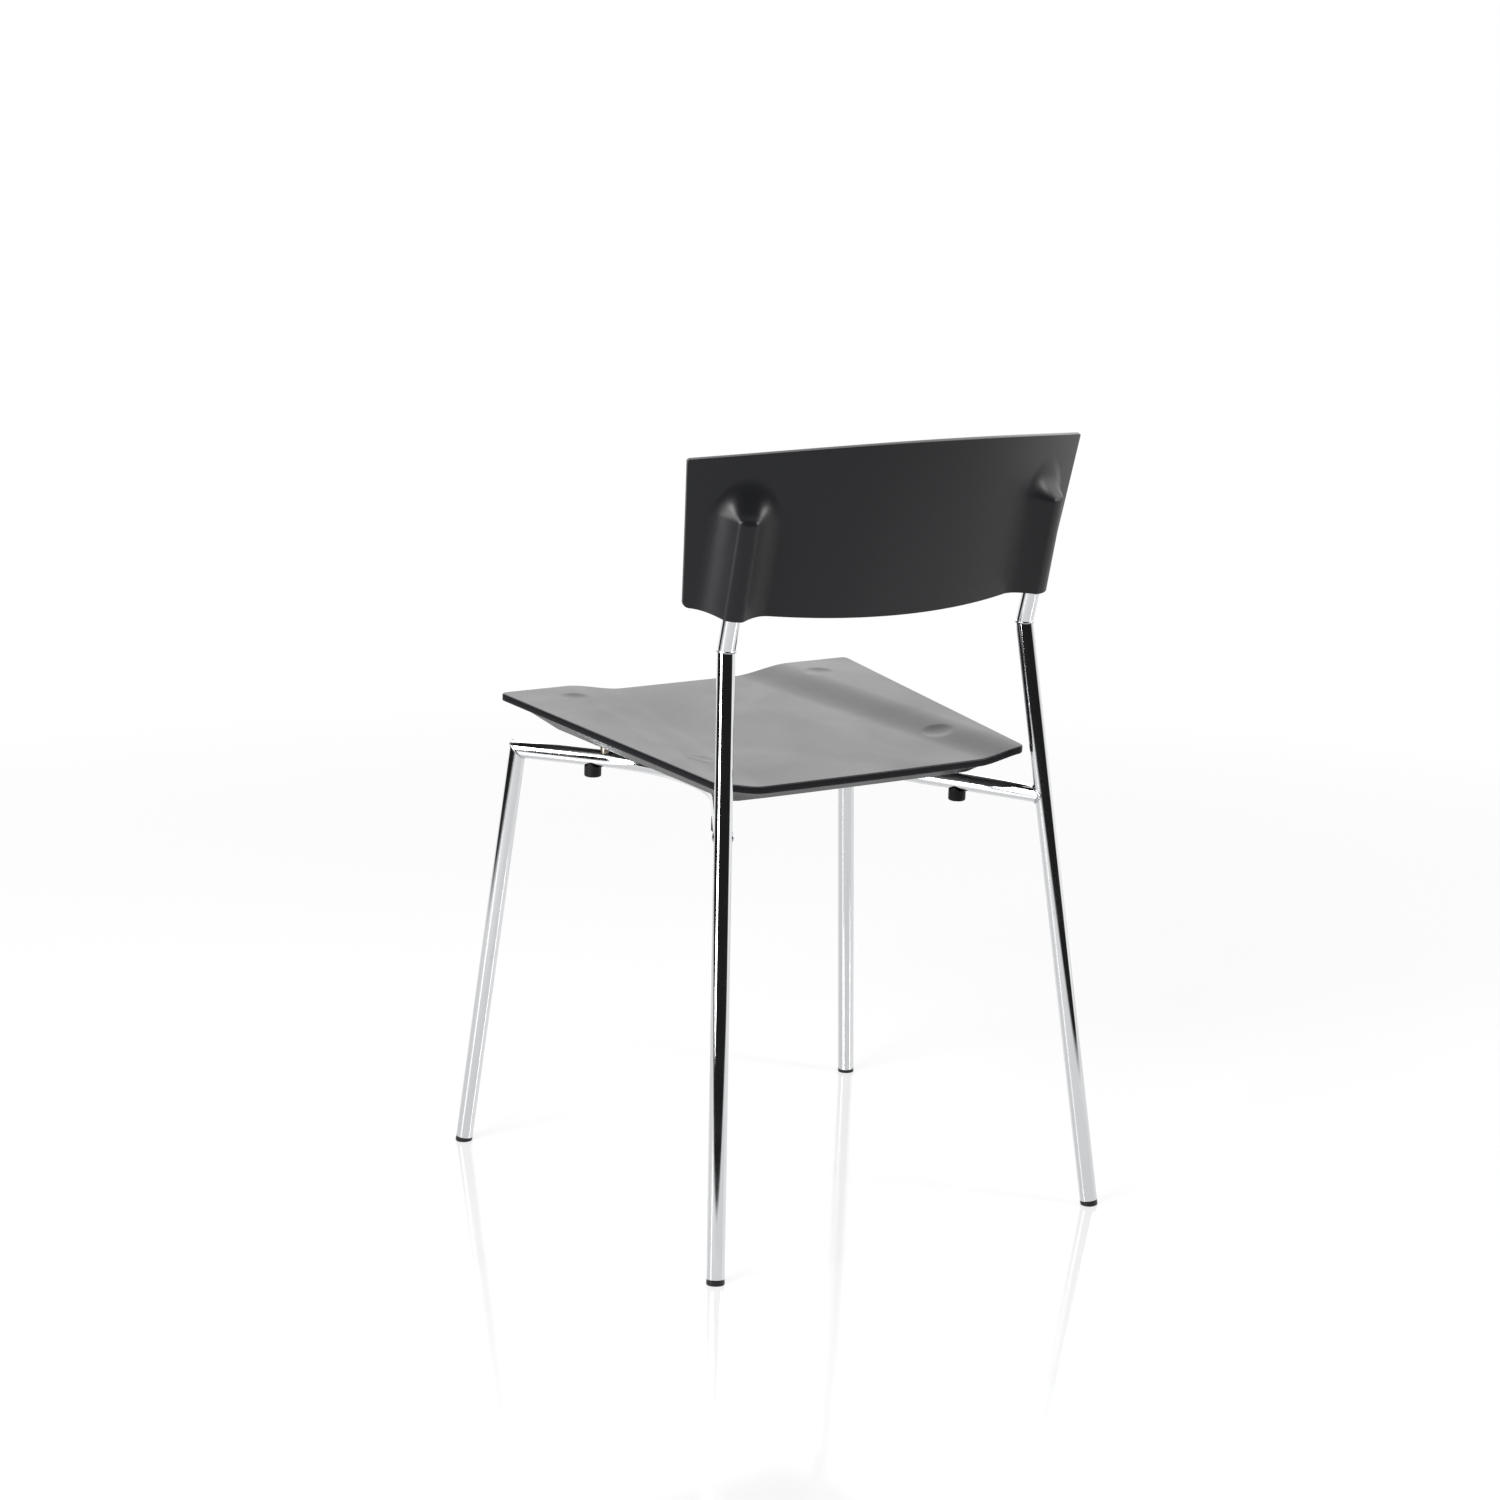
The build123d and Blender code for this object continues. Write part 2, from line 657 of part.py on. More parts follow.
def crown_radius(half_width, crown):
    """The radius of an arc that is 2 x half_width across and stands out by crown."""
    return (half_width**2 + crown**2) / (2 * crown)


def back_corner(half_width, run):
    """A corner of the backrest's rear face, on its left side."""
    depth = arc_centre_y + sqrt(back_radius**2 - half_width**2)
    return back_plane.from_local_coords(Vector(half_width, depth, run))


def back_side_cut():
    """The plane that trims the left edge of the backrest, square to its curved face."""
    bottom = back_corner(back_bottom_half_width, back_bottom_run)
    top = back_corner(back_top_half_width, back_top_run)
    halfway_run = (back_bottom_run + back_top_run) / 2
    axis_point = back_plane.from_local_coords(Vector(0, arc_centre_y, halfway_run))
    outwards = (bottom + top) * 0.5 - axis_point
    return Plane(origin=bottom, z_dir=outwards.cross(top - bottom))

with BuildPart() as back_front_core:
    with BuildSketch(back_plane):
        with Locations((0, arc_centre_y)):
            Circle(back_radius - back_thickness)
    extrude(amount=2 * back_height)

with BuildPart() as backrest:
    with BuildSketch(back_plane):
        with Locations((0, arc_centre_y)):
            Circle(back_radius)
            Circle(back_radius - back_thickness, mode=Mode.SUBTRACT)
    extrude(amount=2 * back_height)
    top_radius = crown_radius(back_top_half_width, back_top_crown)
    bottom_radius = crown_radius(back_bottom_half_width, back_bottom_crown)
    with BuildSketch(back_outline_plane):
        with Locations((0, back_height - top_radius)):
            Circle(top_radius)
        with Locations((0, back_foot + bottom_radius)):
            Circle(bottom_radius, mode=Mode.INTERSECT)
    extrude(amount=back_radius / 2, both=True, mode=Mode.INTERSECT)
    side_cut = back_side_cut()
    split(bisect_by=side_cut, keep=Keep.BOTTOM)
    mirrored_cut = Plane(
        origin=(-side_cut.origin.X, side_cut.origin.Y, side_cut.origin.Z),
        z_dir=(-side_cut.z_dir.X, side_cut.z_dir.Y, side_cut.z_dir.Z),
    )
    split(bisect_by=mirrored_cut, keep=Keep.BOTTOM)
    corner_edges = backrest.edges().filter_by(lambda edge: edge.length < 2 * back_thickness)
    corner_edges = corner_edges.sort_by(Axis(back_plane.origin, back_plane.z_dir))
    fillet(corner_edges[:2], back_bottom_corner_radius)
    corner_edges = backrest.edges().filter_by(lambda edge: edge.length < 2 * back_thickness)
    corner_edges = corner_edges.sort_by(Axis(back_plane.origin, back_plane.z_dir))
    fillet(corner_edges[-2:], back_top_corner_radius)
    for sign in sides.values():
        shoulder = sleeve_start + sleeve_length
        mouth = upright_point(sign, sleeve_start)
        add(rod(mouth, upright_point(sign, shoulder), tube_radius + fit_gap + sleeve_wall))
        section = sleeve_section(sleeve_plane(sign, back_bottom_run), 1)
        extrude(section, amount=shoulder - back_bottom_run, dir=upright_direction(sign))
        add(sleeve_section(sleeve_plane(sign, shoulder), 1))
        add(sleeve_section(sleeve_plane(sign, shoulder + sleeve_shoulder), shoulder_share))
        loft()
    add(back_front_core.part, mode=Mode.SUBTRACT)
    for sign in sides.values():
        bore_top = upright_point(sign, shoulder + fit_gap)
        add(rod(upright_point(sign, 0), bore_top, tube_radius + fit_gap), mode=Mode.SUBTRACT)
        screw_plane = back_screw_plane(sign)
        with BuildSketch(screw_plane):
            Circle(back_screw_diameter / 2 + fit_gap)
        extrude(amount=2 * back_face_run, mode=Mode.SUBTRACT)
        with BuildSketch(screw_plane.offset(back_face_run - back_screw_head_height)):
            Circle(back_screw_head_diameter / 2 + fit_gap)
        extrude(amount=back_face_run, mode=Mode.SUBTRACT)
backrest.part.label = "backrest"
export_step(backrest.part, "parts/backrest.step")
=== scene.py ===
"""Dresses a stacking chair: chromed tube frame, moulded seat and moulded backrest.

Metres. +Z is up, the sitter faces -Y and the sitter's left is +X. The origin is on the
floor between the four feet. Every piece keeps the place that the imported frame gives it.
"""
import logging
from collections.abc import Callable
from dataclasses import dataclass, field
from enum import Enum

import bmesh
import bpy
import numpy as np
from mathutils import Matrix, Vector


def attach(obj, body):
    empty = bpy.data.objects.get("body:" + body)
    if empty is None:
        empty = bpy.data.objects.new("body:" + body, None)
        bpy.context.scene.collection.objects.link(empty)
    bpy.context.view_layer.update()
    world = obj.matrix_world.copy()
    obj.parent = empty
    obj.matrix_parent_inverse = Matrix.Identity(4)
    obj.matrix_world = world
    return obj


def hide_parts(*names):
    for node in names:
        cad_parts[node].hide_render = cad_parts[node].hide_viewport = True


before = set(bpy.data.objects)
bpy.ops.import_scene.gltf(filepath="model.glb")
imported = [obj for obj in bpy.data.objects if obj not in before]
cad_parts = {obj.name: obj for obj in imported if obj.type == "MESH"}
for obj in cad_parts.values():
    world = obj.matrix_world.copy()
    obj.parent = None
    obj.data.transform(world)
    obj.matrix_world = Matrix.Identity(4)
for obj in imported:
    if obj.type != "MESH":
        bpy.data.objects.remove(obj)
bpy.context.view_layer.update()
log = logging.getLogger("stacking_chair")

Array = np.ndarray
Colour = tuple[float, float, float]
Shell = tuple[Array, Array, Array | None]
Trim = Callable[[Array, Array], Array]
Triple = tuple[float, float, float]
Bumps = tuple[Triple, ...]
Rows = tuple[tuple[float, float], ...]

BODY = "root"
FIT_GAP = 0.00015
SHARP_ANGLE = np.radians(38)
ACROSS = np.array([1.0, 0, 0])
QUARTER_TURN = np.pi / 2
DENSITY_STEPS = 4001
SEED_SPREAD = 97


class Side(Enum):
    """The two sides of the chair, by the sign of X."""

    LEFT = 1
    RIGHT = -1

    @property
    def word(self) -> str:
        """The side's name in lower case."""
        return self.name.lower()


def unit(vector: Array) -> Array:
    """The vector at length one, along its last axis."""
    vector = np.asarray(vector, float)
    return vector / np.linalg.norm(vector, axis=-1, keepdims=True)


def smooth_step(value: Array) -> Array:
    """A ramp from 0 to 1 with level ends, 3 v^2 - 2 v^3, held outside that range."""
    value = np.clip(value, 0, 1)
    return value * value * (3 - 2 * value)


def mix(start: Array, end: Array, share: Array) -> Array:
    """The value at a share of the way from start to end."""
    return start + (end - start) * share


def across(axis: Array, hint: Array) -> Array:
    """The unit direction square to an axis that lies closest to a hint.

    Args:
        axis: the axis, or one for each row.
        hint: a rough direction.

    Returns:
        The hint less its share along the axis, at length one.
    """
    axis = unit(axis)
    hint = np.asarray(hint, float)
    return unit(hint - (hint * axis).sum(-1, keepdims=True) * axis)


def tilted(degrees: float) -> tuple[Array, Array]:
    """The directions back and up of a level plane that is turned down at its rear.

    Args:
        degrees: how far it is turned, about X.

    Returns:
        The way straight back in the plane, and the way square to it.
    """
    sine, cosine = np.sin(np.radians(degrees)), np.cos(np.radians(degrees))
    return np.array([0, cosine, -sine]), np.array([0, sine, cosine])


def quarter(steps: int) -> Array:
    """Evenly spaced angles from 0 to a quarter turn."""
    return np.linspace(0, QUARTER_TURN, steps)


# ---- Meshes ----


def grid_faces(
    rows: int, columns: int, wrap_rows: bool = False, wrap_columns: bool = True
) -> Array:
    """The quads of a grid of points.

    Args:
        rows: how many rows of points the grid has.
        columns: how many points a row has.
        wrap_rows: whether the last row joins the first.
        wrap_columns: whether the last column joins the first.

    Returns:
        One row of four point numbers for each quad.
    """
    row = np.arange(rows if wrap_rows else rows - 1)[:, None]
    column = np.arange(columns if wrap_columns else columns - 1)[None, :]
    next_row = (row + 1) % rows
    next_column = (column + 1) % columns
    corners = (
        row * columns + column,
        row * columns + next_column,
        next_row * columns + next_column,
        next_row * columns + column,
    )
    return np.stack([np.broadcast_to(c, corners[0].shape).ravel() for c in corners], axis=1)


def put_in_scene(name: str, data: bpy.types.ID) -> bpy.types.Object:
    """Makes an object of a mesh, lamp or camera and links it to the scene.

    Args:
        name: the object's name.
        data: what it shows.

    Returns:
        The new object.
    """
    thing = bpy.data.objects.new(name, data)
    bpy.context.scene.collection.objects.link(thing)
    return thing


def shell_mesh(name: str, shell: Shell) -> bpy.types.Mesh:
    """Makes a mesh of closed shells, with its faces turned outwards.

    Args:
        name: the mesh's name.
        shell: points, quads and triangles, the last None where there are none.

    Returns:
        The new mesh.
    """
    points, quads, triangles = shell
    faces = quads.tolist() + ([] if triangles is None else triangles.tolist())
    mesh = bpy.data.meshes.new(name)
    mesh.from_pydata(points, [], faces)
    work = bmesh.new()
    work.from_mesh(mesh)
    bmesh.ops.recalc_face_normals(work, faces=work.faces)
    work.to_mesh(mesh)
    work.free()
    return mesh


def build_piece(
    name: str, shell: Shell, finish: bpy.types.Material
) -> bpy.types.Object:
    """Makes one visible piece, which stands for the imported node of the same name.

    Args:
        name: the node's name; it is also added to the piece's own name.
        shell: the piece's points, quads and triangles.
        finish: its material.

    Returns:
        The new object, which rides on the chair's one body.
    """
    mesh = shell_mesh(f"dressed_{name}", shell)
    mesh.shade_smooth()
    mesh.set_sharp_from_angle(angle=SHARP_ANGLE)
    mesh.materials.append(finish)
    piece = put_in_scene(mesh.name, mesh)
    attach(piece, BODY)
    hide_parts(name)
    log.info("%s: %d faces", name, len(mesh.polygons))
    return piece


def ring_loop(rings: Array) -> Shell:
    """Joins rings to each other and the last to the first, as a tube with a wall does.

    Args:
        rings: rings of points, shaped (rings, points in a ring, 3).

    Returns:
        The points and the quads between rings; it has no triangles.
    """
    return rings.reshape(-1, 3), grid_faces(*rings.shape[:2], wrap_rows=True), None


def closed_loft(rings: Array) -> Shell:
    """Joins a stack of rings and closes both ends with a point in the middle of each.

    Args:
        rings: rings of points, shaped (rings, points in a ring, 3).

    Returns:
        The points, the quads between rings and the triangles at both ends.
    """
    count, around, _ = rings.shape
    points = np.concatenate([rings.reshape(-1, 3), rings[:1].mean(1), rings[-1:].mean(1)])
    quads = grid_faces(count, around)
    here = np.arange(around)
    following = (here + 1) % around
    first = np.full(around, count * around)
    last_ring = (count - 1) * around
    start = np.stack([following, here, first], axis=1)
    end = np.stack([last_ring + here, last_ring + following, first + 1], axis=1)
    return points, quads, np.concatenate([start, end])


def joined(shells: list[Shell]) -> Shell:
    """Puts several shells in one set of arrays.

    Args:
        shells: the points, quads and triangles of each.

    Returns:
        All points, with the quads and triangles numbered on from shell to shell.
    """
    starts = np.cumsum([0] + [len(points) for points, _, _ in shells])
    triangles = [own + start for (_, _, own), start in zip(shells, starts) if own is not None]
    return (
        np.concatenate([points for points, _, _ in shells]),
        np.concatenate([quads + start for (_, quads, _), start in zip(shells, starts)]),
        np.concatenate(triangles) if triangles else None,
    )


def turned_rings(
    origin: Array, axis: Array, profile: Array, around: int, hint: Array = ACROSS
) -> Array:
    """Rings of a turned shape: each profile point (radius, height) goes round the axis.

    Args:
        origin: the point on the axis from which heights are measured.
        axis: the axis' direction.
        profile: radius and height, one row for each ring.
        around: how many points a ring has.
        hint: the rough direction of a ring's first point.

    Returns:
        The rings, shaped (profile points, around, 3).
    """
    axis = unit(axis)
    first = across(axis, hint)
    second = np.cross(axis, first)
    angle = np.linspace(0, 2 * np.pi, around, endpoint=False)[:, None]
    spoke = np.cos(angle) * first + np.sin(angle) * second
    radius, height = np.asarray(profile, float).T
    return origin + radius[:, None, None] * spoke + height[:, None, None] * axis


def rim(
    radius: float, level: float, rounding: float, steps: int = 6, upper: bool = False
) -> Array:
    """The rounded rim of a turned shape, as a quarter circle in its profile.

    Args:
        radius: the shape's radius beside the rim.
        level: the height of its flat end.
        rounding: the quarter circle's radius.
        steps: how many points it has.
        upper: whether it is the rim of the top; its points then run from upright to level.

    Returns:
        Rows of radius and height.
    """
    sweep = quarter(steps)
    if upper:
        level_way, upright_way, sign = np.cos(sweep), np.sin(sweep), -1
    else:
        level_way, upright_way, sign = np.sin(sweep), np.cos(sweep), 1
    reach = radius - rounding + rounding * level_way
    return np.stack([reach, level + sign * rounding * (1 - upright_way)], axis=1)


# ---- Node helpers and shared effects ----


class Graph:
    """Adds nodes to a node tree and links them, with sockets named in words."""

    def __init__(self, tree: bpy.types.NodeTree) -> None:
        """Keeps the tree that nodes go into, and empties it."""
        self.tree = tree
        self.tree.nodes.clear()

    def add(self, kind: str, **values: object) -> bpy.types.Node:
        """Adds a node.

        Args:
            kind: the node's type name.
            values: attributes, or input sockets by name with spaces as underscores.

        Returns:
            The node; an input given as a socket is linked, any other is set.
        """
        node = self.tree.nodes.new(kind)
        for key, value in values.items():
            if hasattr(node, key):
                setattr(node, key, value)
                continue
            self.feed(node, key.replace("_", " "), value)
        return node

    def feed(self, node: bpy.types.Node, socket: str | int, value: object) -> None:
        """Links or sets one input of a node.

        Args:
            node: the node.
            socket: the input's name or number.
            value: a socket to link, or a value to set.
        """
        if isinstance(value, bpy.types.NodeSocket):
            self.tree.links.new(value, node.inputs[socket])
        else:
            node.inputs[socket].default_value = value

    def in_order(self, kind: str, *values: object, **settings: object) -> bpy.types.NodeSocket:
        """Adds a node whose inputs are given by their order.

        Args:
            kind: the node's type name.
            values: its first inputs, sockets or plain values.
            settings: its attributes.

        Returns:
            Its first output.
        """
        node = self.add(kind, **settings)
        for number, value in enumerate(values):
            self.feed(node, number, value)
        return node.outputs[0]

    def math(self, operation: str, *values: object) -> bpy.types.NodeSocket:
        """The output of a Math node."""
        return self.in_order("ShaderNodeMath", *values, operation=operation)

    def noise(self, where: object, scale: object, detail: float = 2.0) -> bpy.types.NodeSocket:
        """The value of a noise pattern, from 0 to 1."""
        return self.add("ShaderNodeTexNoise", Vector=where, Scale=scale, Detail=detail).outputs[0]

    def stretched(self, where: object, scale: tuple[float, ...]) -> bpy.types.NodeSocket:
        """Coordinates scaled by their own factor along each axis."""
        return self.add("ShaderNodeMapping", Vector=where, Scale=scale).outputs[0]

    def spread(
        self, value: object, low: float, high: float, start: float = 0.0, end: float = 1.0
    ) -> bpy.types.NodeSocket:
        """Maps a value from start..end to low..high."""
        return self.in_order("ShaderNodeMapRange", value, start, end, low, high)

    def blend(self, share: object, first: object, second: object) -> bpy.types.NodeSocket:
        """Mixes two colours.

        Args:
            share: how much of the second colour there is, from 0 to 1.
            first: a colour or a socket.
            second: a colour or a socket.

        Returns:
            The mixed colour.
        """
        # A Mix node keeps its colours at inputs 6 and 7 and at output 2.
        node = self.add("ShaderNodeMix", data_type="RGBA")
        for socket, value in ((0, share), (6, first), (7, second)):
            self.feed(node, socket, (*value, 1) if isinstance(value, tuple) else value)
        return node.outputs[2]


def shaded(colour: Colour, factor: float) -> Colour:
    """A colour made darker or lighter."""
    return tuple(factor * value for value in colour)


def effect_group(
    name: str, inputs: dict[str, float], outputs: tuple[str, ...]
) -> tuple[bpy.types.NodeTree, Graph, bpy.types.Node, bpy.types.Node]:
    """Starts a node group with a Vector input, number inputs and number outputs.

    Args:
        name: the group's name.
        inputs: its number inputs and their usual values.
        outputs: its outputs.

    Returns:
        The tree, its graph, its input node and its output node.
    """
    tree = bpy.data.node_groups.new(name, "ShaderNodeTree")
    new_socket = tree.interface.new_socket
    new_socket("Vector", in_out="INPUT", socket_type="NodeSocketVector")
    for label, usual in inputs.items():
        number = new_socket(label, in_out="INPUT", socket_type="NodeSocketFloat")
        number.default_value = usual
    for label in outputs:
        new_socket(label, in_out="OUTPUT", socket_type="NodeSocketFloat")
    graph = Graph(tree)
    return tree, graph, graph.add("NodeGroupInput"), graph.add("NodeGroupOutput")


def handling_group() -> bpy.types.NodeTree:
    """Faint marks of handling: broad cloudy smears and sparse fine rubs that change gloss.

    Returns:
        The node group; both masks run from 0 to 1.
    """
    tree, graph, given, result = effect_group(
        "handling_marks", {"Smear Scale": 14.0, "Rub Scale": 160.0}, ("Smear", "Rub")
    )
    where, smear_scale, rub_scale = given.outputs[:3]
    cloud = graph.add("ShaderNodeTexNoise", Vector=where, Detail=4.0, Scale=smear_scale)
    graph.feed(cloud, "Distortion", 0.6)
    strokes = graph.add(
        "ShaderNodeMapping", Vector=where, Rotation=(0.3, 0.5, 0.9), Scale=(1.0, 7.0, 1.0)
    )
    rub = graph.noise(strokes.outputs[0], rub_scale)
    graph.feed(result, "Smear", graph.spread(cloud.outputs[0], 0.0, 1.0, 0.38, 0.66))
    graph.feed(result, "Rub", graph.spread(rub, 0.0, 1.0, 0.6, 0.78))
    return tree


def grain_group() -> bpy.types.NodeTree:
    """The etched grain of a mould: round cells with a finer noise between them, as a height.

    Returns:
        The node group.
    """
    tree, graph, given, result = effect_group("mould_grain", {"Grain Scale": 1500.0}, ("Height",))
    where, scale = given.outputs[:2]
    cells = graph.add("ShaderNodeTexVoronoi", Vector=where, feature="SMOOTH_F1", Scale=scale)
    fine = graph.noise(where, graph.math("MULTIPLY", scale, 1.7), detail=1.0)
    graph.feed(result, "Height", graph.math("ADD", cells.outputs[0], fine))
    return tree


@dataclass(frozen=True)
class Finish:
    """The parts that all finishes share: a name and how a material is started."""

    name: str
    handling: bpy.types.NodeTree
    grain: bpy.types.NodeTree

    def start(self) -> tuple[bpy.types.Material, Graph, bpy.types.Node, bpy.types.NodeSocket]:
        """Starts the material.

        Returns:
            The material, its graph, its shader and the Object coordinates.
        """
        material = bpy.data.materials.new(self.name)
        material.use_nodes = True
        graph = Graph(material.node_tree)
        shader = graph.add("ShaderNodeBsdfPrincipled")
        graph.add("ShaderNodeOutputMaterial", Surface=shader.outputs[0])
        where = graph.add("ShaderNodeTexCoord").outputs["Object"]
        return material, graph, shader, where

    def effect(
        self, graph: Graph, tree: bpy.types.NodeTree, where: object, **values: float
    ) -> bpy.types.Node:
        """Places a shared effect in a material.

        Args:
            graph: the material's graph.
            tree: the effect's node group.
            where: the coordinates that it reads.
            values: its own values, by input name with spaces as underscores.

        Returns:
            The group's node.
        """
        return graph.add("ShaderNodeGroup", node_tree=tree, Vector=where, **values)

    def relief(self, graph: Graph, shader: bpy.types.Node, height: object, depth: float) -> None:
        """Feeds a height to the shader's Normal through a Bump node.

        Args:
            graph: the material's graph.
            shader: the material's shader.
            height: the pattern, from 0 to about 1.
            depth: how deep the pattern is, in metres.
        """
        bump = graph.add("ShaderNodeBump", Strength=1.0, Distance=depth, Height=height)
        graph.feed(shader, "Normal", bump.outputs[0])

    def worn_gloss(
        self, graph: Graph, marks: bpy.types.Node, roughness: float, smear: float, rub: float
    ) -> bpy.types.NodeSocket:
        """Raises a roughness where the piece has been handled.

        Args:
            graph: the material's graph.
            marks: the handling marks.
            roughness: the untouched roughness.
            smear: how much rougher the smears are.
            rub: how much rougher the rubs are.

        Returns:
            The roughness over the surface.
        """
        gloss = graph.math("MULTIPLY_ADD", marks.outputs["Smear"], smear, roughness)
        return graph.math("MULTIPLY_ADD", marks.outputs["Rub"], rub, gloss)


@dataclass(frozen=True)
class Chrome(Finish):
    """Plated tube: near-mirror, with the long shallow waves of drawn tube under the plating."""

    tint: Colour = (0.80, 0.81, 0.825)
    roughness: float = 0.035
    wave_scale: float = 26.0
    wave_stretch: float = 0.28
    wave_depth: float = 0.00007
    smear_tone: float = 0.94
    smear_strength: float = 0.25
    smear_gloss: float = 0.05
    rub_gloss: float = 0.03

    def material(self) -> bpy.types.Material:
        """Builds the material: a tint that the smears dull, and waves drawn out along Z.

        Returns:
            The material.
        """
        material, graph, shader, where = self.start()
        graph.feed(shader, "Metallic", 1.0)
        marks = self.effect(graph, self.handling, where, Smear_Scale=18.0, Rub_Scale=220.0)
        smeared = graph.math("MULTIPLY", marks.outputs["Smear"], self.smear_strength)
        tone = graph.blend(smeared, self.tint, shaded(self.tint, self.smear_tone))
        graph.feed(shader, "Base Color", tone)
        gloss = self.worn_gloss(graph, marks, self.roughness, self.smear_gloss, self.rub_gloss)
        graph.feed(shader, "Roughness", gloss)
        drawn = graph.stretched(where, (1.0, 1.0, self.wave_stretch))
        waves = graph.noise(drawn, self.wave_scale, detail=1.5)
        self.relief(graph, shader, waves, self.wave_depth)
        return material


@dataclass(frozen=True)
class WeldBead(Finish):
    """Plated weld metal: bright like the tube, with a frozen, uneven skin."""

    tint: Colour = (0.56, 0.57, 0.59)
    dark_tone: float = 0.72
    shade_scale: float = 420.0
    smooth: float = 0.06
    rough: float = 0.24
    skin_scale: float = 900.0
    skin_depth: float = 0.0003

    def material(self) -> bpy.types.Material:
        """Builds the material: one noise shades and roughens it, a finer one lifts its skin.

        Returns:
            The material.
        """
        material, graph, shader, where = self.start()
        graph.feed(shader, "Metallic", 1.0)
        shade = graph.noise(where, self.shade_scale, detail=3.0)
        tone = graph.blend(shade, shaded(self.tint, self.dark_tone), self.tint)
        graph.feed(shader, "Base Color", tone)
        graph.feed(shader, "Roughness", graph.spread(shade, self.smooth, self.rough, 0.3, 0.7))
        self.relief(graph, shader, graph.noise(where, self.skin_scale), self.skin_depth)
        return material


@dataclass(frozen=True)
class MouldedPlastic(Finish):
    """Dyed-through satin plastic with an etched grain, faint flow shading and light handling."""

    colour: Colour = (0.0058, 0.0061, 0.0078)
    roughness: float = 0.34
    reflectance: float = 0.4
    flow_scale: float = 5.0
    flow_tones: tuple[float, float] = (0.86, 1.14)
    rub_tone: float = 2.0
    rub_strength: float = 0.2
    smear_gloss: float = 0.06
    rub_gloss: float = 0.05
    grain_scale: float = 1500.0
    grain_depth: float = 0.000012

    def material(self) -> bpy.types.Material:
        """Builds the material: broad flow tones, paler rubs, and the grain as a relief.

        Returns:
            The material.
        """
        material, graph, shader, where = self.start()
        marks = self.effect(graph, self.handling, where, Smear_Scale=7.0, Rub_Scale=120.0)
        dark, light = (shaded(self.colour, tone) for tone in self.flow_tones)
        flow = graph.blend(graph.noise(where, self.flow_scale, detail=3.0), dark, light)
        rubbed = graph.math("MULTIPLY", marks.outputs["Rub"], self.rub_strength)
        tone = graph.blend(rubbed, flow, shaded(self.colour, self.rub_tone))
        graph.feed(shader, "Base Color", tone)
        graph.feed(shader, "Specular IOR Level", self.reflectance)
        gloss = self.worn_gloss(graph, marks, self.roughness, self.smear_gloss, self.rub_gloss)
        graph.feed(shader, "Roughness", gloss)
        cells = self.effect(graph, self.grain, where, Grain_Scale=self.grain_scale)
        self.relief(graph, shader, cells.outputs["Height"], self.grain_depth)
        return material


@dataclass(frozen=True)
class SmallMetal(Finish):
    """Plain metal of fixings: a plated or bare colour with turning marks across the axis."""

    tint: Colour = (0.55, 0.55, 0.54)
    roughness: float = 0.3
    smoother: float = 0.06
    rougher: float = 0.08
    dark_tone: float = 0.85
    turning_scale: float = 500.0
    turning_squeeze: float = 9.0
    turning_depth: float = 0.00004

    def material(self) -> bpy.types.Material:
        """Builds the material: a noise squeezed along Z makes the turning marks.

        Returns:
            The material.
        """
        material, graph, shader, where = self.start()
        graph.feed(shader, "Metallic", 1.0)
        squeezed = graph.stretched(where, (1.0, 1.0, self.turning_squeeze))
        turning = graph.noise(squeezed, self.turning_scale, detail=3.0)
        tone = graph.blend(turning, shaded(self.tint, self.dark_tone), self.tint)
        graph.feed(shader, "Base Color", tone)
        smooth, rough = self.roughness - self.smoother, self.roughness + self.rougher
        graph.feed(shader, "Roughness", graph.spread(turning, smooth, rough))
        self.relief(graph, shader, turning, self.turning_depth)
        return material


@dataclass(frozen=True)
class Finishes:
    """Every material of the chair, built once."""

    chrome: bpy.types.Material
    weld: bpy.types.Material
    seat: bpy.types.Material
    back: bpy.types.Material
    pan: bpy.types.Material
    glide: bpy.types.Material
    rubber: bpy.types.Material
    spacer: bpy.types.Material
    screw: bpy.types.Material
    brass: bpy.types.Material


def make_finishes() -> Finishes:
    """Builds the shared effects, then each finish with its own values.

    Returns:
        The materials.
    """
    shared = (handling_group(), grain_group())
    plain = {
        "chrome": Chrome("chromed tube", *shared),
        "weld": WeldBead("chromed weld", *shared),
        "seat": MouldedPlastic("seat plastic", *shared, roughness=0.30, reflectance=0.2),
        "back": MouldedPlastic("backrest plastic", *shared, roughness=0.36, reflectance=0.38),
        "pan": MouldedPlastic("underpan plastic", *shared, roughness=0.36),
        "glide": MouldedPlastic("glide plastic", *shared, grain_scale=2400.0),
        "rubber": MouldedPlastic(
            "buffer rubber",
            *shared,
            colour=(0.0055, 0.0055, 0.006),
            roughness=0.5,
            reflectance=0.25,
            grain_scale=2200.0,
        ),
        "spacer": SmallMetal("spacer metal", *shared, tint=(0.44, 0.39, 0.32)),
        "screw": SmallMetal("screw steel", *shared, tint=(0.50, 0.50, 0.51), roughness=0.26),
        "brass": SmallMetal("insert brass", *shared, tint=(0.70, 0.52, 0.24)),
    }
    return Finishes(**{role: finish.material() for role, finish in plain.items()})


# ---- Tube frame ----


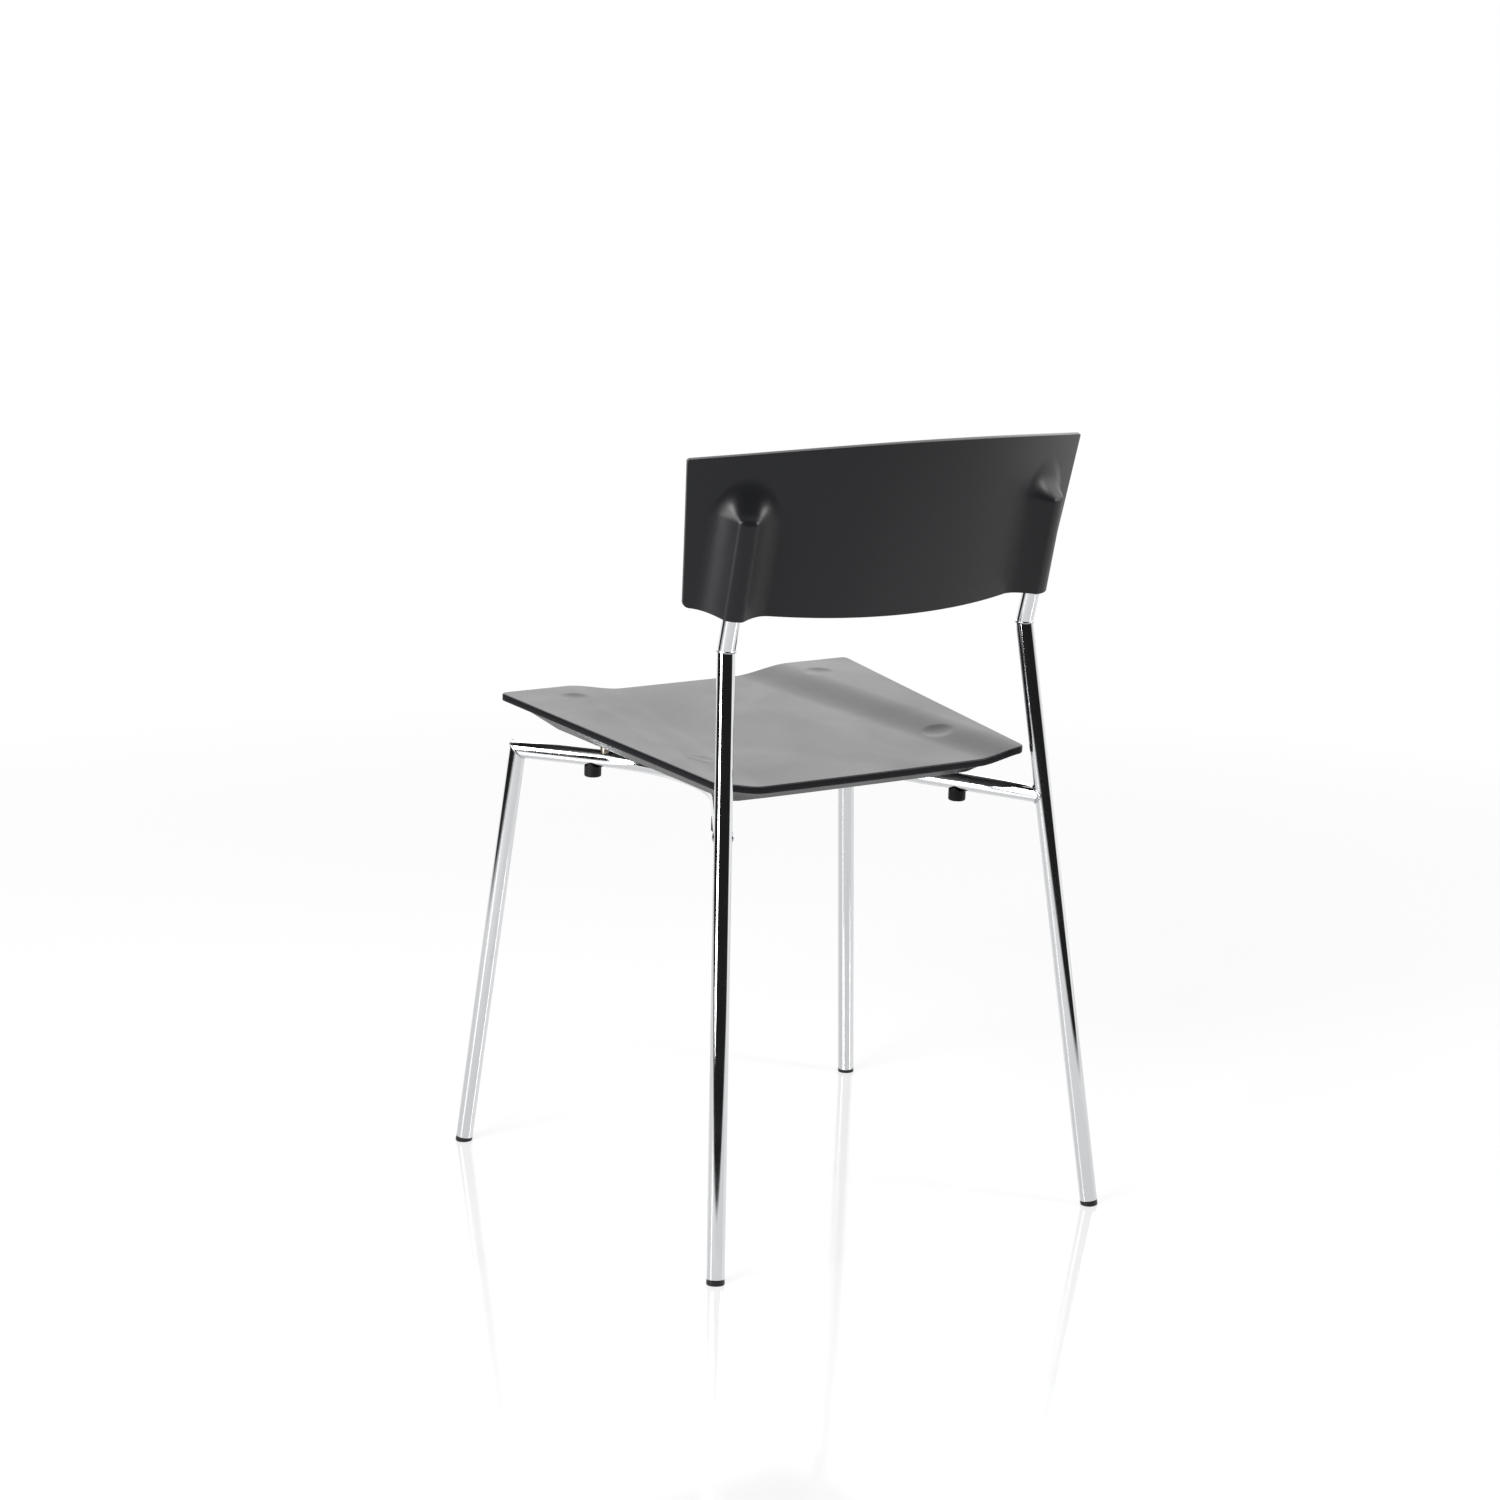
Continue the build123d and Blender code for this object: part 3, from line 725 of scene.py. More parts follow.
@dataclass(frozen=True)
class FramePlan:
    """The points and directions that the tubes' axes follow, right-left symmetric."""

    tube_radius: float = 0.009
    bore_radius: float = 0.0075
    foot_reach: float = 0.2455
    front_foot_spread: float = 0.2483
    rear_foot_spread: float = 0.2269
    corner_spread: float = 0.2071
    corner_reach: float = 0.2017
    corner_height: float = 0.4394
    bend_spread: float = 0.1768
    bend_setback: float = 0.1641
    bend_height: float = 0.6062
    upright_lean: float = 16.0
    upright_splay: float = 0.5
    rail_slope: float = 1.6
    rail_front_angle: float = 40.5
    rail_rear_angle: float = 30.0
    rail_bend_radius: float = 0.170
    sleeve_end: float = 0.134
    glide_cap: float = 0.005

    def sided(self, side: Side, x: float, y: float, z: float) -> Array:
        """A point given for the left side, on the side asked for."""
        return np.array([side.value * x, y, z])

    def front_foot(self, side: Side) -> Array:
        """Where a front leg's axis meets the floor."""
        return self.sided(side, self.front_foot_spread, -self.foot_reach, 0)

    def front_corner(self, side: Side) -> Array:
        """Where a front leg's axis meets its rail's."""
        return self.sided(side, self.corner_spread, -self.corner_reach, self.corner_height)

    def rear_foot(self, side: Side) -> Array:
        """Where a rear leg's axis meets the floor."""
        return self.sided(side, self.rear_foot_spread, self.foot_reach, 0)

    def bend(self, side: Side) -> Array:
        """Where a rear leg's axis meets its upright's."""
        return self.sided(side, self.bend_spread, self.bend_setback, self.bend_height)

    def upright_way(self, side: Side) -> Array:
        """The direction of an upright."""
        lean, splay = np.radians([self.upright_lean, self.upright_splay])
        return unit([side.value * np.tan(splay), np.tan(lean), 1])

    @property
    def rail_up(self) -> Array:
        """The direction square to the plane of the rails."""
        return tilted(self.rail_slope)[1]

    @property
    def rail_back(self) -> Array:
        """The direction straight back in the plane of the rails."""
        return tilted(self.rail_slope)[0]

    def rail_end(self, side: Side) -> Array:
        """Where the rear leg's axis passes through the plane of the rails.

        Args:
            side: which leg.

        Returns:
            The point.
        """
        foot = self.rear_foot(side)
        rise = self.bend(side) - foot
        share = (self.front_corner(side) - foot) @ self.rail_up / (rise @ self.rail_up)
        return foot + share * rise

    def rail_route(self, side: Side, arc_steps: int = 24) -> tuple[Array, Array]:
        """A rail's axis: straight in from the corner, an arc, straight out to the rear leg.

        Args:
            side: which rail.
            arc_steps: how many points the arc has.

        Returns:
            The points of the axis and the direction at each.
        """
        start, end = self.front_corner(side), self.rail_end(side)
        inward = np.array([-side.value, 0, 0])
        front, rear = np.radians([self.rail_front_angle, self.rail_rear_angle])
        leaving = np.sin(front) * inward + np.cos(front) * self.rail_back
        arriving = -np.sin(rear) * inward + np.cos(rear) * self.rail_back
        # The two straights meet where start + a * leaving + b * arriving = end.
        matrix = np.stack([leaving, arriving, self.rail_up], axis=1)
        first_run = np.linalg.solve(matrix, end - start)[0]
        trim = self.rail_bend_radius * np.tan((front + rear) / 2)
        sweep = np.linspace(0, front + rear, arc_steps)[:, None]
        # Turning from leaving to arriving, the arc's centre lies on the outer side of the chair.
        toward = unit(arriving - leaving * (leaving @ arriving))
        arc_start = start + leaving * (first_run - trim)
        ways = np.cos(sweep) * leaving + np.sin(sweep) * toward
        turned = np.sin(sweep) * leaving + (1 - np.cos(sweep)) * toward
        arc = arc_start + self.rail_bend_radius * turned
        points = np.concatenate([[start], arc, [end]])
        return points, np.concatenate([[leaving], ways, [arriving]])

    def rail_length(self, side: Side) -> float:
        """The length of a rail's axis."""
        points, _ = self.rail_route(side)
        return float(np.linalg.norm(np.diff(points, axis=0), axis=1).sum())

    def rail_at(self, side: Side, run: float, arc_steps: int = 96) -> tuple[Array, Array]:
        """Finds a place on a rail.

        Args:
            side: which rail.
            run: the distance from its front corner.
            arc_steps: how many points its arc has.

        Returns:
            The point and the direction of the rail there.
        """
        points, ways = self.rail_route(side, arc_steps)
        reach = np.concatenate([[0], np.cumsum(np.linalg.norm(np.diff(points, axis=0), axis=1))])
        where = np.array([np.interp(run, reach, column) for column in points.T])
        way = np.array([np.interp(run, reach, column) for column in ways.T])
        return where, unit(way)


def to_plane(points: Array, way: Array, origin: Array, normal: Array) -> Array:
    """Slides points along a direction until they lie in a plane.

    Args:
        points: the points.
        way: the direction.
        origin: a point of the plane.
        normal: the direction square to it.

    Returns:
        The points in the plane.
    """
    run = ((origin - points) @ normal) / (way @ normal)
    return points + run[:, None] * way


def to_cylinder(points: Array, way: Array, origin: Array, axis: Array, radius: float) -> Array:
    """Slides points along a direction until they meet a cylinder, on the side they come from.

    Seen along the axis the run is the smaller root of a r^2 + 2 b r + c = 0.

    Args:
        points: the points.
        way: the direction.
        origin: a point of the cylinder's axis.
        axis: the axis' direction.
        radius: the cylinder's radius.

    Returns:
        The points on the cylinder.
    """
    axis = unit(axis)
    offset = points - origin
    offset = offset - (offset @ axis)[:, None] * axis
    flat_way = way - (way @ axis) * axis
    a = flat_way @ flat_way
    b = offset @ flat_way
    c = (offset * offset).sum(1) - radius**2
    run = (-b - np.sqrt(np.maximum(b * b - a * c, 0))) / a
    return points + run[:, None] * way


def bead_rings(
    curve: Array,
    outward: Array,
    along: Array,
    height: Array,
    half_width: float,
    around: int = 10,
) -> Array:
    """A weld bead: an oval carried round a closed curve.

    Args:
        curve: the points of the seam, in order.
        outward: the direction off the tube at each point.
        along: the direction across the seam at each point.
        height: how far the bead stands out at each point.
        half_width: half its width.
        around: how many points the oval has.

    Returns:
        One ring for each point of the seam.
    """
    angle = np.linspace(0, 2 * np.pi, around, endpoint=False)[None, :, None]
    lift = np.cos(angle) * height[:, None, None] * outward[:, None, :]
    spread = np.sin(angle) * half_width * along[:, None, :]
    return curve[:, None, :] + lift + spread


def place_seed(point: Array) -> float:
    """A number that differs from place to place, so that no two welds match."""
    return float(np.abs(point).sum() * SEED_SPREAD)


@dataclass
class TubeFrame:
    """The welded frame: four legs, two bowed rails, two uprights and their welds."""

    plan: FramePlan
    finishes: Finishes
    around: int = 72
    weld_reach: float = 0.0012
    weld_height: float = 0.0008
    weld_steps: int = 180
    corner_ripple: float = 0.35
    upright_ripple: float = 0.12
    rail_weld_size: float = 0.0019
    rail_weld_lift: float = 0.75
    rail_weld_steps: int = 240
    ripple_pitch: float = 0.0021
    lap_height: float = 0.16
    drift_height: float = 0.12

    def tube(
        self, name: str, route: Array, ways: Array, hint: Array, start: Trim, end: Trim
    ) -> None:
        """A hollow tube: two circles carried along a route, each end trimmed to its neighbour.

        Args:
            name: the piece's name, which is also its node's.
            route: the points of its axis.
            ways: the direction at each point.
            hint: a direction roughly square to the whole route.
            start: trims the points of the first ring, given with their direction.
            end: trims the last ring in the same way.
        """
        angle = np.linspace(0, 2 * np.pi, self.around, endpoint=False)[None, :, None]
        first = across(ways, hint)[:, None, :]
        second = np.cross(ways, first[:, 0])[:, None, :]
        spoke = np.cos(angle) * first + np.sin(angle) * second
        walls = []
        for radius in (self.plan.tube_radius, self.plan.bore_radius):
            wall = route[:, None, :] + radius * spoke
            wall[0] = start(wall[0], ways[0])
            wall[-1] = end(wall[-1], ways[-1])
            walls.append(wall)
        rings = np.concatenate([walls[0], walls[1][::-1]])
        build_piece(name, ring_loop(rings), self.finishes.chrome)

    def straight_tube(
        self, name: str, start: Array, end: Array, cuts: tuple[Array, Array], steps: int = 9
    ) -> None:
        """A straight tube between two planes.

        Args:
            name: the piece's name.
            start: where its axis starts.
            end: where its axis ends.
            cuts: the directions square to the plane at each end.
            steps: how many points its axis has.
        """
        route = mix(start, end, np.linspace(0, 1, steps)[:, None])
        ways = np.repeat(unit(end - start)[None], steps, axis=0)
        trims = (self.cut_at(point, normal) for point, normal in zip((start, end), cuts))
        self.tube(name, route, ways, ACROSS, *trims)

    def cut_at(self, origin: Array, normal: Array) -> Trim:
        """A trim that slides a ring onto a plane."""
        return lambda ring, way: to_plane(ring, way, origin, normal)

    def build_side(self, side: Side) -> None:
        """Builds the tubes and welds of one side.

        Args:
            side: which side.
        """
        plan, word = self.plan, side.word
        foot, corner = plan.front_foot(side), plan.front_corner(side)
        rear_foot, bend = plan.rear_foot(side), plan.bend(side)
        front_way, rear_way = unit(corner - foot), unit(bend - rear_foot)
        upright_way = plan.upright_way(side)
        rail, rail_ways = plan.rail_route(side)
        corner_cut = unit(front_way + rail_ways[0])
        bend_cut = unit(rear_way + upright_way)

        def saddle(ring: Array, way: Array) -> Array:
            """A trim that slides a ring onto the rear leg."""
            return to_cylinder(ring, way, rear_foot, rear_way, plan.tube_radius)

        cap = plan.glide_cap
        top = bend + upright_way * plan.sleeve_end
        front_start, rear_start = foot + front_way * cap, rear_foot + rear_way * cap
        self.straight_tube(f"front_leg_{word}", front_start, corner, (front_way, corner_cut))
        self.straight_tube(f"rear_leg_{word}", rear_start, bend, (rear_way, bend_cut))
        self.straight_tube(f"upright_{word}", bend, top, (bend_cut, upright_way), steps=5)
        corner_trim = self.cut_at(corner, corner_cut)
        self.tube(f"side_rail_{word}", rail, rail_ways, plan.rail_up, corner_trim, saddle)
        for name, point, way, cut, ripple in (
            ("corner_weld", corner, front_way, corner_cut, self.corner_ripple),
            ("upright_weld", bend, rear_way, bend_cut, self.upright_ripple),
        ):
            self.mitre_bead(f"{name}_{word}", point, way, cut, ripple)
        self.saddle_bead(f"rail_weld_{word}", rail[-1], rail_ways[-1], saddle)

    def ripples(self, curve: Array, seed: float) -> Array:
        """How a bead's height varies along its seam: even laps with a slow drift, about 1.

        Args:
            curve: the points of the seam.
            seed: shifts the drift.

        Returns:
            A factor for each point: 1 + laps |sin| + drift sin of twice the turn.
        """
        steps = np.linalg.norm(np.roll(curve, -1, 0) - curve, axis=1)
        run = np.cumsum(steps)
        laps = np.round(run[-1] / self.ripple_pitch)
        phase = 2 * np.pi * run / run[-1]
        lap = self.lap_height * np.abs(np.sin(phase * laps / 2))
        return 1 + lap + self.drift_height * np.sin(2 * phase + seed)

    def mitre_bead(self, name: str, point: Array, way: Array, normal: Array, ripple: float) -> None:
        """The ground bead round a mitred joint.

        Args:
            name: the piece's name, which is also its node's.
            point: where the two axes meet.
            way: the direction of one of the tubes.
            normal: the direction square to the mitre.
            ripple: how much of the lap pattern is left after grinding.
        """
        count = self.weld_steps
        ring = turned_rings(point, way, [(self.plan.tube_radius, 0)], count)[0]
        curve = to_plane(ring, way, point, normal)
        waves = self.ripples(curve, place_seed(point))
        lift = self.weld_height * (1 - ripple + ripple * waves)
        along = np.repeat(normal[None], count, axis=0)
        rings = bead_rings(curve, unit(ring - point), along, lift, self.weld_reach)
        build_piece(name, ring_loop(rings), self.finishes.weld)

    def saddle_bead(self, name: str, end: Array, way: Array, saddle: Trim) -> None:
        """The lapped fillet weld where a rail runs into a rear leg.

        Args:
            name: the piece's name, which is also its node's.
            end: where the rail's axis ends.
            way: the rail's direction there.
            saddle: slides the rail's end onto the leg.
        """
        radius, count = self.plan.tube_radius, self.rail_weld_steps
        ring = turned_rings(end, way, [(radius, 0)], count, self.plan.rail_up)[0]
        curve = saddle(ring, way)
        lift = self.rail_weld_size * self.ripples(curve, place_seed(end))
        off_leg = unit(unit(ring - end) - way)
        on_leg = unit(np.cross(off_leg, np.roll(curve, -1, 0) - np.roll(curve, 1, 0)))
        lift = lift * self.rail_weld_lift
        rings = bead_rings(curve, off_leg, on_leg, lift, self.rail_weld_size)
        build_piece(name, ring_loop(rings), self.finishes.weld)

    def build(self) -> None:
        """Builds both sides."""
        for side in Side:
            self.build_side(side)


@dataclass
class Glides:
    """Moulded glides: a rounded cap under each foot, on a stem that plugs the tube."""

    plan: FramePlan
    finishes: Finishes
    edge_round: float = 0.0012
    stem_length: float = 0.020
    lip: float = 0.0004
    ribs: int = 4
    rib_height: float = 0.0006
    rib_width: float = 0.0006
    rib_flank: float = 0.001
    rib_margin: float = 0.004
    taper: float = 0.001
    around: int = 64

    def build(self) -> None:
        """Builds the four glides, cut level where they stand on the floor."""
        plan = self.plan
        for side in Side:
            ends = {
                "front": (plan.front_foot(side), plan.front_corner(side)),
                "rear": (plan.rear_foot(side), plan.bend(side)),
            }
            for end, (foot, target) in ends.items():
                rings = turned_rings(foot, target - foot, self.profile(), self.around)
                rings[..., 2] = np.maximum(rings[..., 2], 0.0)
                name = f"{end}_glide_{side.word}"
                build_piece(name, closed_loft(rings), self.finishes.glide)

    def profile(self) -> Array:
        """The profile from the floor up: rounded foot, cap, small lip, ribbed and tapered stem.

        Returns:
            Rows of radius and height.
        """
        radius, stem = self.plan.tube_radius, self.plan.bore_radius - FIT_GAP
        cap, root = self.plan.glide_cap, stem - self.rib_height
        foot = rim(radius, -self.edge_round, self.edge_round)
        top = [(radius, cap - self.lip), (radius - self.lip, cap), (stem, cap)]
        end = cap + self.stem_length
        ribs = []
        for rib in np.linspace(cap + self.rib_margin, end - self.rib_margin, self.ribs):
            crest_end = rib + self.rib_width
            ribs += [(root, rib - self.rib_flank), (stem, rib)]
            ribs += [(stem, crest_end), (root, crest_end + self.rib_flank)]
        tip = [(stem - self.taper, end - self.taper), (stem - 2 * self.taper, end)]
        return np.array([(radius / 2, -self.edge_round), *foot, *top, *ribs, *tip])


@dataclass
class RailFittings:
    """What sits on the rails: stacking buffers below, seat fixings above, and their screws."""

    plan: FramePlan
    finishes: Finishes
    buffer_radius: float = 0.009
    buffer_drop: float = 0.011
    buffer_wing: float = 0.004
    buffer_round: float = 0.0015
    buffer_dish: Rows = ((0.002, 0.0006), (0.0045, 0.0005), (0.0058, 0.0))
    buffer_shoulder: Rows = ((0.0, 0.0004), (0.0002, 0.0001), (0.0005, 0.0))
    socket_taper: float = 0.9
    wing_turn: float = 42.0
    front_buffer_run: float = 0.0846
    rear_buffer_run: float = 0.0965
    front_fixing_gap: float = 0.014
    rear_fixing_gap: float = 0.015
    spacer_radius: float = 0.006
    spacer_height: float = 0.005
    spacer_chamfer: float = 0.0005
    screw_radius: float = 0.003
    screw_chamfer: float = 0.0005
    head_radius: float = 0.005
    head_height: float = 0.004
    socket_radius: float = 0.0022
    socket_depth: float = 0.0022
    insert_radius: float = 0.004
    insert_length: float = 0.011
    knurl_depth: float = 0.0004
    knurl_rows: int = 9
    pan_wall: float = 0.003
    around: int = 64
    screw_around: int = 32

    def stations(self, side: Side, kind: str = "") -> dict[str, tuple[Array, Array]]:
        """Finds where the rail carries each buffer and fixing.

        Args:
            side: which rail.
            kind: the ending of the places that are asked for, such as "buffer".

        Returns:
            The point and direction of the rail, by the place's name.
        """
        from_rear = self.plan.rail_length(side) - self.rear_buffer_run
        runs = {
            "front_buffer": self.front_buffer_run,
            "rear_buffer": from_rear,
            "front_spacer": self.front_buffer_run + self.front_fixing_gap,
            "rear_spacer": from_rear - self.rear_fixing_gap,
        }
        return {
            name: self.plan.rail_at(side, run) for name, run in runs.items() if name.endswith(kind)
        }

    def saddled(self, rings: Array, station: Array, way: Array, above: bool) -> Array:
        """Lifts the points that lie in a rail's section onto its surface.

        Below the rail the post's wings are peaked: their height falls evenly with the turn
        around the post, from the side of the rail to its underside.

        Args:
            rings: the post's points.
            station: the rail's point.
            way: the rail's direction there.
            above: whether the post stands on top of the rail or hangs below it.

        Returns:
            The points, none of them inside the rail's circle.
        """
        up, radius = self.plan.rail_up, self.plan.tube_radius
        offset = rings - station
        sideways = offset @ np.cross(up, way)
        height = offset @ up
        surface = np.sqrt(np.maximum(radius**2 - sideways**2, 0))
        if above:
            free = np.maximum(height, surface)
        else:
            turn = np.degrees(np.arctan2(np.abs(offset @ way), np.abs(sideways)))
            peak = np.clip(1 - turn / self.wing_turn, 0, 1) * self.buffer_wing
            free = np.minimum(np.minimum(height, -surface), peak - radius)
        inside = np.abs(sideways) < radius + FIT_GAP
        shift = np.where(inside, free - height, 0)
        return rings + shift[..., None] * up

    def build_side(self, side: Side) -> None:
        """Builds the buffers, then the spacers, of one rail.

        Args:
            side: which rail.
        """
        up, finishes = self.plan.rail_up, self.finishes
        for place, (station, way) in self.stations(side, "buffer").items():
            rings = turned_rings(station, up, self.buffer_profile(), self.around, way)
            shell = closed_loft(self.saddled(rings, station, way, above=False))
            build_piece(f"{place}_{side.word}", shell, finishes.rubber)
        for place, (station, way) in self.stations(side, "spacer").items():
            rings = turned_rings(station, up, self.spacer_profile(), self.around, way)
            shell = ring_loop(self.saddled(rings, station, way, above=True))
            build_piece(f"{place}_{side.word}", shell, finishes.spacer)

    def spacer_profile(self) -> Array:
        """The profile of a spacer: rounded rims outside, a plain bore inside.

        Returns:
            Rows of radius and height, once round its section.
        """
        low = self.plan.tube_radius / 2
        high = self.plan.tube_radius + self.spacer_height
        bore = self.screw_radius + FIT_GAP
        outside = (
            rim(self.spacer_radius, low, self.spacer_chamfer, steps=3),
            rim(self.spacer_radius, high, self.spacer_chamfer, steps=3, upper=True),
        )
        inside = [(bore, high), (bore, mix(high, low, 0.5)), (bore, low)]
        return np.concatenate([*outside, inside])

    def buffer_profile(self) -> Array:
        """The profile of a buffer: dished foot, rounded rim, upright wall, top under the rail.

        Returns:
            Rows of radius and height.
        """
        radius = self.buffer_radius
        foot = -self.plan.tube_radius - self.buffer_drop
        top = -self.plan.tube_radius + self.buffer_wing
        dish = [(at, foot + depth) for at, depth in self.buffer_dish]
        edge = rim(radius, foot, self.buffer_round)
        side_wall = [(radius, mix(foot, top, share)) for share in (0.35, 0.6, 0.85)]
        shoulder = [(radius - inset, top - drop) for inset, drop in self.buffer_shoulder]
        inner = [(radius * share, top) for share in (0.8, 0.65, 0.5, 0.35, 0.2)]
        return np.array([*dish, *edge, *side_wall, *shoulder, *inner])

    def screw_profile(self, top: float) -> list[tuple[float, float]]:
        """The profile of a seat screw: socket, chamfered head inside the rail, shank.

        Args:
            top: the height of its end.

        Returns:
            Rows of radius and height.
        """
        head, shank, chamfer = self.head_radius, self.screw_radius, self.screw_chamfer
        seat = np.sqrt(self.plan.bore_radius**2 - head**2) - FIT_GAP
        bottom = seat - self.head_height
        return [
            (self.socket_radius * self.socket_taper, bottom + self.socket_depth),
            (self.socket_radius, bottom),
            (head - chamfer, bottom),
            (head, bottom + chamfer),
            (head, seat),
            (shank, seat),
            (shank, top - chamfer),
            (shank - chamfer, top),
        ]

    def insert_profile(self, base: float, top: float) -> list[tuple[float, float]]:
        """The profile of an insert: a bore inside, rows of knurling outside.

        Args:
            base: the height of its foot.
            top: the height of its end.

        Returns:
            Rows of radius and height.
        """
        bore, outer, root = (
            self.screw_radius,
            self.insert_radius,
            self.insert_radius - self.knurl_depth,
        )
        heights = np.linspace(base, top, self.knurl_rows)[1:-1]
        knurl = [(root if row % 2 else outer, height) for row, height in enumerate(heights)]
        return [(bore, base), (root, base), *knurl, (root, top), (bore, top)]

    def build_fasteners(self) -> None:
        """Builds the seat screws and their inserts, four of each, one piece for each kind."""
        base = self.plan.tube_radius + self.spacer_height + self.pan_wall
        top = base + self.insert_length
        screw, insert = self.screw_profile(top), self.insert_profile(base, top)
        stations = [at for side in Side for at in self.stations(side, "spacer").values()]
        screws, inserts = (
            [
                turned_rings(station, self.plan.rail_up, profile, self.screw_around, way)
                for station, way in stations
            ]
            for profile in (screw, insert)
        )
        shells = joined([closed_loft(rings) for rings in screws])
        build_piece("seat_screws", shells, self.finishes.screw)
        shells = joined([ring_loop(rings) for rings in inserts])
        build_piece("seat_inserts", shells, self.finishes.brass)

    def build(self) -> None:
        """Builds everything on both rails."""
        for side in Side:
            self.build_side(side)
        self.build_fasteners()


# ---- Seat ----


def spaced(count: int, bumps: Bumps = ()) -> Array:
    """Positions from 0 to 1 that crowd together around given places.

    Their density is 1 plus a bell curve at each place; its running sum is read backwards.

    Args:
        count: how many positions.
        bumps: centre, half-width and gain of each place where they crowd.

    Returns:
        The positions, the first 0 and the last 1.
    """
    fine = np.linspace(0, 1, DENSITY_STEPS)
    density = np.ones_like(fine)
    for centre, half_width, gain in bumps:
        density += gain * np.exp(-(((fine - centre) / half_width) ** 2))
    total = np.concatenate([[0], np.cumsum((density[1:] + density[:-1]) / 2)])
    return np.interp(np.linspace(0, total[-1], count), total, fine)


@dataclass(frozen=True)
class TaperedOutline:
    """A closed outline: straight front, slanted sides, bowed rear, four rounded corners."""

    front_x: float
    front_y: float
    rear_x: float
    rear_y: float
    bow: float
    front_radius: float
    rear_radius: float
    front_steps: int = 56
    side_steps: int = 86
    rear_steps: int = 48
    front_marks: Bumps = ((0.88, 0.09, 2.2),)
    side_marks: Bumps = ((0.76, 0.1, 2.2),)

    def corner(
        self, before: Array, at: Array, after: Array, radius: float, steps: int = 14
    ) -> tuple[Array, Array]:
        """The arc that rounds a corner.

        Args:
            before: a point on the way in.
            at: the sharp corner.
            after: a point on the way out.
            radius: the arc's radius.
            steps: how many points it has.

        Returns:
            Its points and outward directions.
        """
        back, on = unit(before - at), unit(after - at)
        half = np.arccos(back @ on) / 2
        middle = at + unit(back + on) * radius / np.sin(half)
        first = unit(at + back * radius / np.tan(half) - middle)
        last = unit(at + on * radius / np.tan(half) - middle)
        share = np.linspace(0, 1, steps)[:, None]
        opening = np.arccos(np.clip(first @ last, -1, 1))
        spokes = unit(np.sin((1 - share) * opening) * first + np.sin(share * opening) * last)
        return middle + radius * spokes, spokes

    def points(self, fine: bool) -> tuple[Array, Array]:
        """The outline's points and outward directions, counter-clockwise from the front's middle.

        Args:
            fine: whether the edges crowd their points where stacking marks lie.

        Returns:
            Two arrays of rows (x, y); every outline has the same number of points.
        """
        front = np.array([self.front_x, self.front_y])
        rear = np.array([self.rear_x, self.rear_y - self.bow])
        middle = np.array([0.0, self.front_y])
        rear_way = np.array([-1.0, 2 * self.bow / self.rear_x])
        front_arc, front_out = self.corner(middle, front, rear, self.front_radius)
        rear_arc, rear_out = self.corner(front, rear, rear + rear_way, self.rear_radius)
        front_share = spaced(self.front_steps, self.front_marks if fine else ())[:-1, None]
        side_share = spaced(self.side_steps, self.side_marks if fine else ())[1:-1, None]
        front_edge = mix(middle, front_arc[0], front_share)
        side_edge = mix(front_arc[-1], rear_arc[0], side_share)
        x = mix(rear_arc[-1][0], 0.0, np.linspace(0, 1, self.rear_steps)[1:])
        rear_edge = np.stack([x, self.rear_y - self.bow * (x / self.rear_x) ** 2], axis=1)
        rear_edge_out = unit(np.stack([2 * self.bow * x / self.rear_x**2, np.ones_like(x)], axis=1))
        side_way = unit(rear_arc[0] - front_arc[-1])
        side_out = np.array([side_way[1], -side_way[0]])
        half = np.concatenate([front_edge, front_arc, side_edge, rear_arc, rear_edge])
        out = np.concatenate(
            [
                np.repeat([[0.0, -1.0]], len(front_edge), axis=0),
                front_out,
                np.repeat(side_out[None], len(side_edge), axis=0),
                rear_out,
                rear_edge_out,
            ]
        )
        mirror = np.array([-1.0, 1.0])
        other, other_out = half[-2:0:-1] * mirror, out[-2:0:-1] * mirror
        return np.concatenate([half, other]), np.concatenate([out, other_out])


